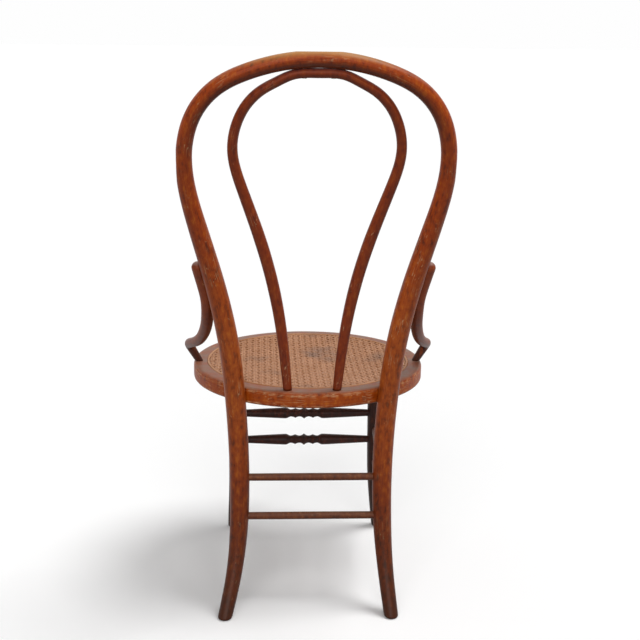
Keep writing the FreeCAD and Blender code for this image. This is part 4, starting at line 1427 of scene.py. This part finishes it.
@dataclass
class PlainStretchers:
    """The plain rear and side stretchers."""

    rod: float = 12.8 * MM
    swell: float = 0.5 * MM
    # Upper and lower height
    rear: tuple[float, float] = (235 * MM, 166.5 * MM)
    side: tuple[float, float] = (214 * MM, 148 * MM)
    # How far from the leg's centre each end stops
    short: float = 4 * MM
    samples: int = 60
    sides: int = 28

    def build(self, hoop: BackHoop, legs: FrontLegs) -> None:
        """Make the six plain stretchers between the legs, a little thicker in the middle.

        The thickness is the rod's less half of the swell at the ends, and grows by the
        swell to the middle as a parabola.

        Args:
            hoop: The hoop whose legs hold them at the back.
            legs: The front legs.
        """
        runs = {f"rear_stretcher_{level}": (hoop.at(height, 1), hoop.at(height, -1))
                for level, height in zip(LEVELS, self.rear)}
        for side, sign in SIDES:
            for level, height in zip(LEVELS, self.side):
                runs[f"side_stretcher_{side}_{level}"] = (legs.at(height, sign),
                                                          hoop.at(height, sign))
        for number, (name, (start, end)) in enumerate(runs.items()):
            length = np.linalg.norm(end - start)
            place = np.linspace(self.short, length - self.short, self.samples)
            path = start + unit(end - start) * place[:, None]
            middle = np.clip(1 - (2 * place / length - 1) ** 2, 0, 1)
            radius = self.rod / 2 - self.swell / 4 + self.swell / 2 * middle
            rod = Rod(path, radius, (0, 0, 1), sides=self.sides)
            piece = rod.build(name.replace("stretcher", "dowel"),
                              DOWEL_WOOD.material(26.0 + number), Slot.STRETCHER)
            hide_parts(name)


def finish_steel() -> None:
    """Give the frame's screws, bolts and washers their steel."""
    steel = OldSteel().material()
    for name in ("crown_screws", "brace_screws", "leg_bolts", "leg_bolt_washers"):
        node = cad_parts[name]
        for place in node.material_slots:
            place.material = steel
        LOG.info("%s: steel", name)


# Studio

@dataclass
class Studio:
    """Pale floor, plain soft light and the camera at the photograph's angle.

    The sky, the soft sun overhead and the softer one behind the camera together light
    an upward face at a level of 1, at which a colour renders about as it is written.
    """

    # Focal length, width and sideways shift of the picture, in pixels
    focus: float = 1150.0
    image: float = 640.0
    shift: float = 11.97
    sensor: float = 36
    # From the seat's centre, over the floor, and the angles down, aside and tilted
    distance: float = 2.035
    height: float = 0.971
    pitch: float = math.radians(13.9)
    yaw: float = math.radians(2.5)
    roll: float = math.radians(0.6)
    # Name, direction to it, level and softness of each sun
    suns: tuple = (("overhead", (-0.45, 0.0, 1.0), 0.57, 28),
                   ("behind_camera", (0.1, 1.0, 0.50), 0.46, 50))
    sky: float = 0.30
    backdrop: str = "fefefe"
    floor_seen: str = "ffffff"
    floor_real: str = "b4b4b4"
    floor_size: float = 200
    floor_drop: float = 0.5 * MM

    def camera(self) -> None:
        """Place the camera: behind the chair, above it and turned a little."""
        data = bpy.data.cameras.new("camera")
        data.sensor_width = self.sensor
        data.lens = self.focus / self.image * self.sensor
        data.shift_x = self.shift / self.image
        sin, cos = math.sin(self.yaw), math.cos(self.yaw)
        forward = Vector((-math.cos(self.pitch) * sin, -math.cos(self.pitch) * cos,
                          -math.sin(self.pitch)))
        right = Vector((-cos, sin, 0))
        up = right.cross(forward)
        turned = right * math.cos(self.roll) + up * math.sin(self.roll)
        raised = turned.cross(forward)
        place = Matrix((turned, raised, -forward)).transposed().to_4x4()
        place.translation = (self.distance * sin, self.distance * cos + SEAT_Y, self.height)
        camera = bpy.data.objects.new("camera", data)
        bpy.context.collection.objects.link(camera)
        camera.matrix_world = place
        bpy.context.scene.camera = camera

    def sun(self, name: str, source: Sequence[float], level: float, softness: float) -> None:
        """Add a soft sun, which lights the whole floor alike.

        Args:
            name: Name of the light.
            source: Direction from the chair to the light.
            level: How brightly it lights a white face turned to it, 1 being white.
            softness: Width of the light as the chair sees it, in degrees.
        """
        data = bpy.data.lights.new(name, "SUN")
        data.energy = level * math.pi
        data.angle = math.radians(softness)
        lamp = bpy.data.objects.new(name, data)
        bpy.context.collection.objects.link(lamp)
        lamp.rotation_euler = (-Vector(source)).to_track_quat("-Z", "Y").to_euler()

    def seen(self, tree: Tree) -> Socket:
        """Return 1 for what the camera sees, in a gloss or through glass too.

        Args:
            tree: The node tree.

        Returns:
            The share's socket.
        """
        path = add(tree, "LightPath").node
        seen = path.outputs["Is Camera Ray"]
        for name in ("Is Glossy Ray", "Is Transmission Ray"):
            seen = add(tree, "Math", (seen, path.outputs[name]), operation="MAXIMUM")
        return seen

    def world(self) -> None:
        """Light everything evenly, with a white backdrop where the camera sees it."""
        world = bpy.data.worlds.new("studio")
        bpy.context.scene.world = world
        world.use_nodes = True
        tree = world.node_tree
        tree.nodes.clear()
        white = add(tree, "Background", (linear(self.backdrop),))
        soft = add(tree, "Background", (linear("ffffff"), self.sky))
        mixed = add(tree, "MixShader", (self.seen(tree), soft, white))
        add(tree, "OutputWorld", (mixed,))

    def floor(self) -> None:
        """Lay a wide pale floor that keeps the chair's shadow."""
        bpy.ops.mesh.primitive_plane_add(size=self.floor_size, location=(0, 0, -self.floor_drop))
        floor = bpy.context.object
        floor.name = "studio_floor"
        material, tree = empty_material("matt_white_floor")
        colour = add(tree, "Mix", {0: self.seen(tree), 6: linear(self.floor_real),
                                   7: linear(self.floor_seen)}, 2, data_type="RGBA")
        shader = add(tree, "BsdfPrincipled", {"Base Color": colour, "Roughness": 1.0,
                                              "Specular IOR Level": 0.0})
        add(tree, "OutputMaterial", (shader,))
        floor.data.materials.append(material)

    def build(self) -> None:
        """Set up the camera, the lights and the floor."""
        self.camera()
        self.world()
        self.floor()
        for sun in self.suns:
            self.sun(*sun)
        bpy.context.scene.view_settings.view_transform = "Standard"


def main() -> None:
    """Build every piece and the studio."""
    logging.basicConfig(level=logging.INFO, format="%(name)s: %(message)s")
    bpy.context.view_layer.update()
    hoop = BackHoop()
    legs = FrontLegs()
    hoop.build()
    InnerHoop().build()
    HipBraces().build(hoop)
    Seat().build()
    legs.build()
    TurnedStretchers().build()
    PlainStretchers().build(hoop, legs)
    finish_steel()
    Studio().build()


if __name__ == "__main__":
    main()
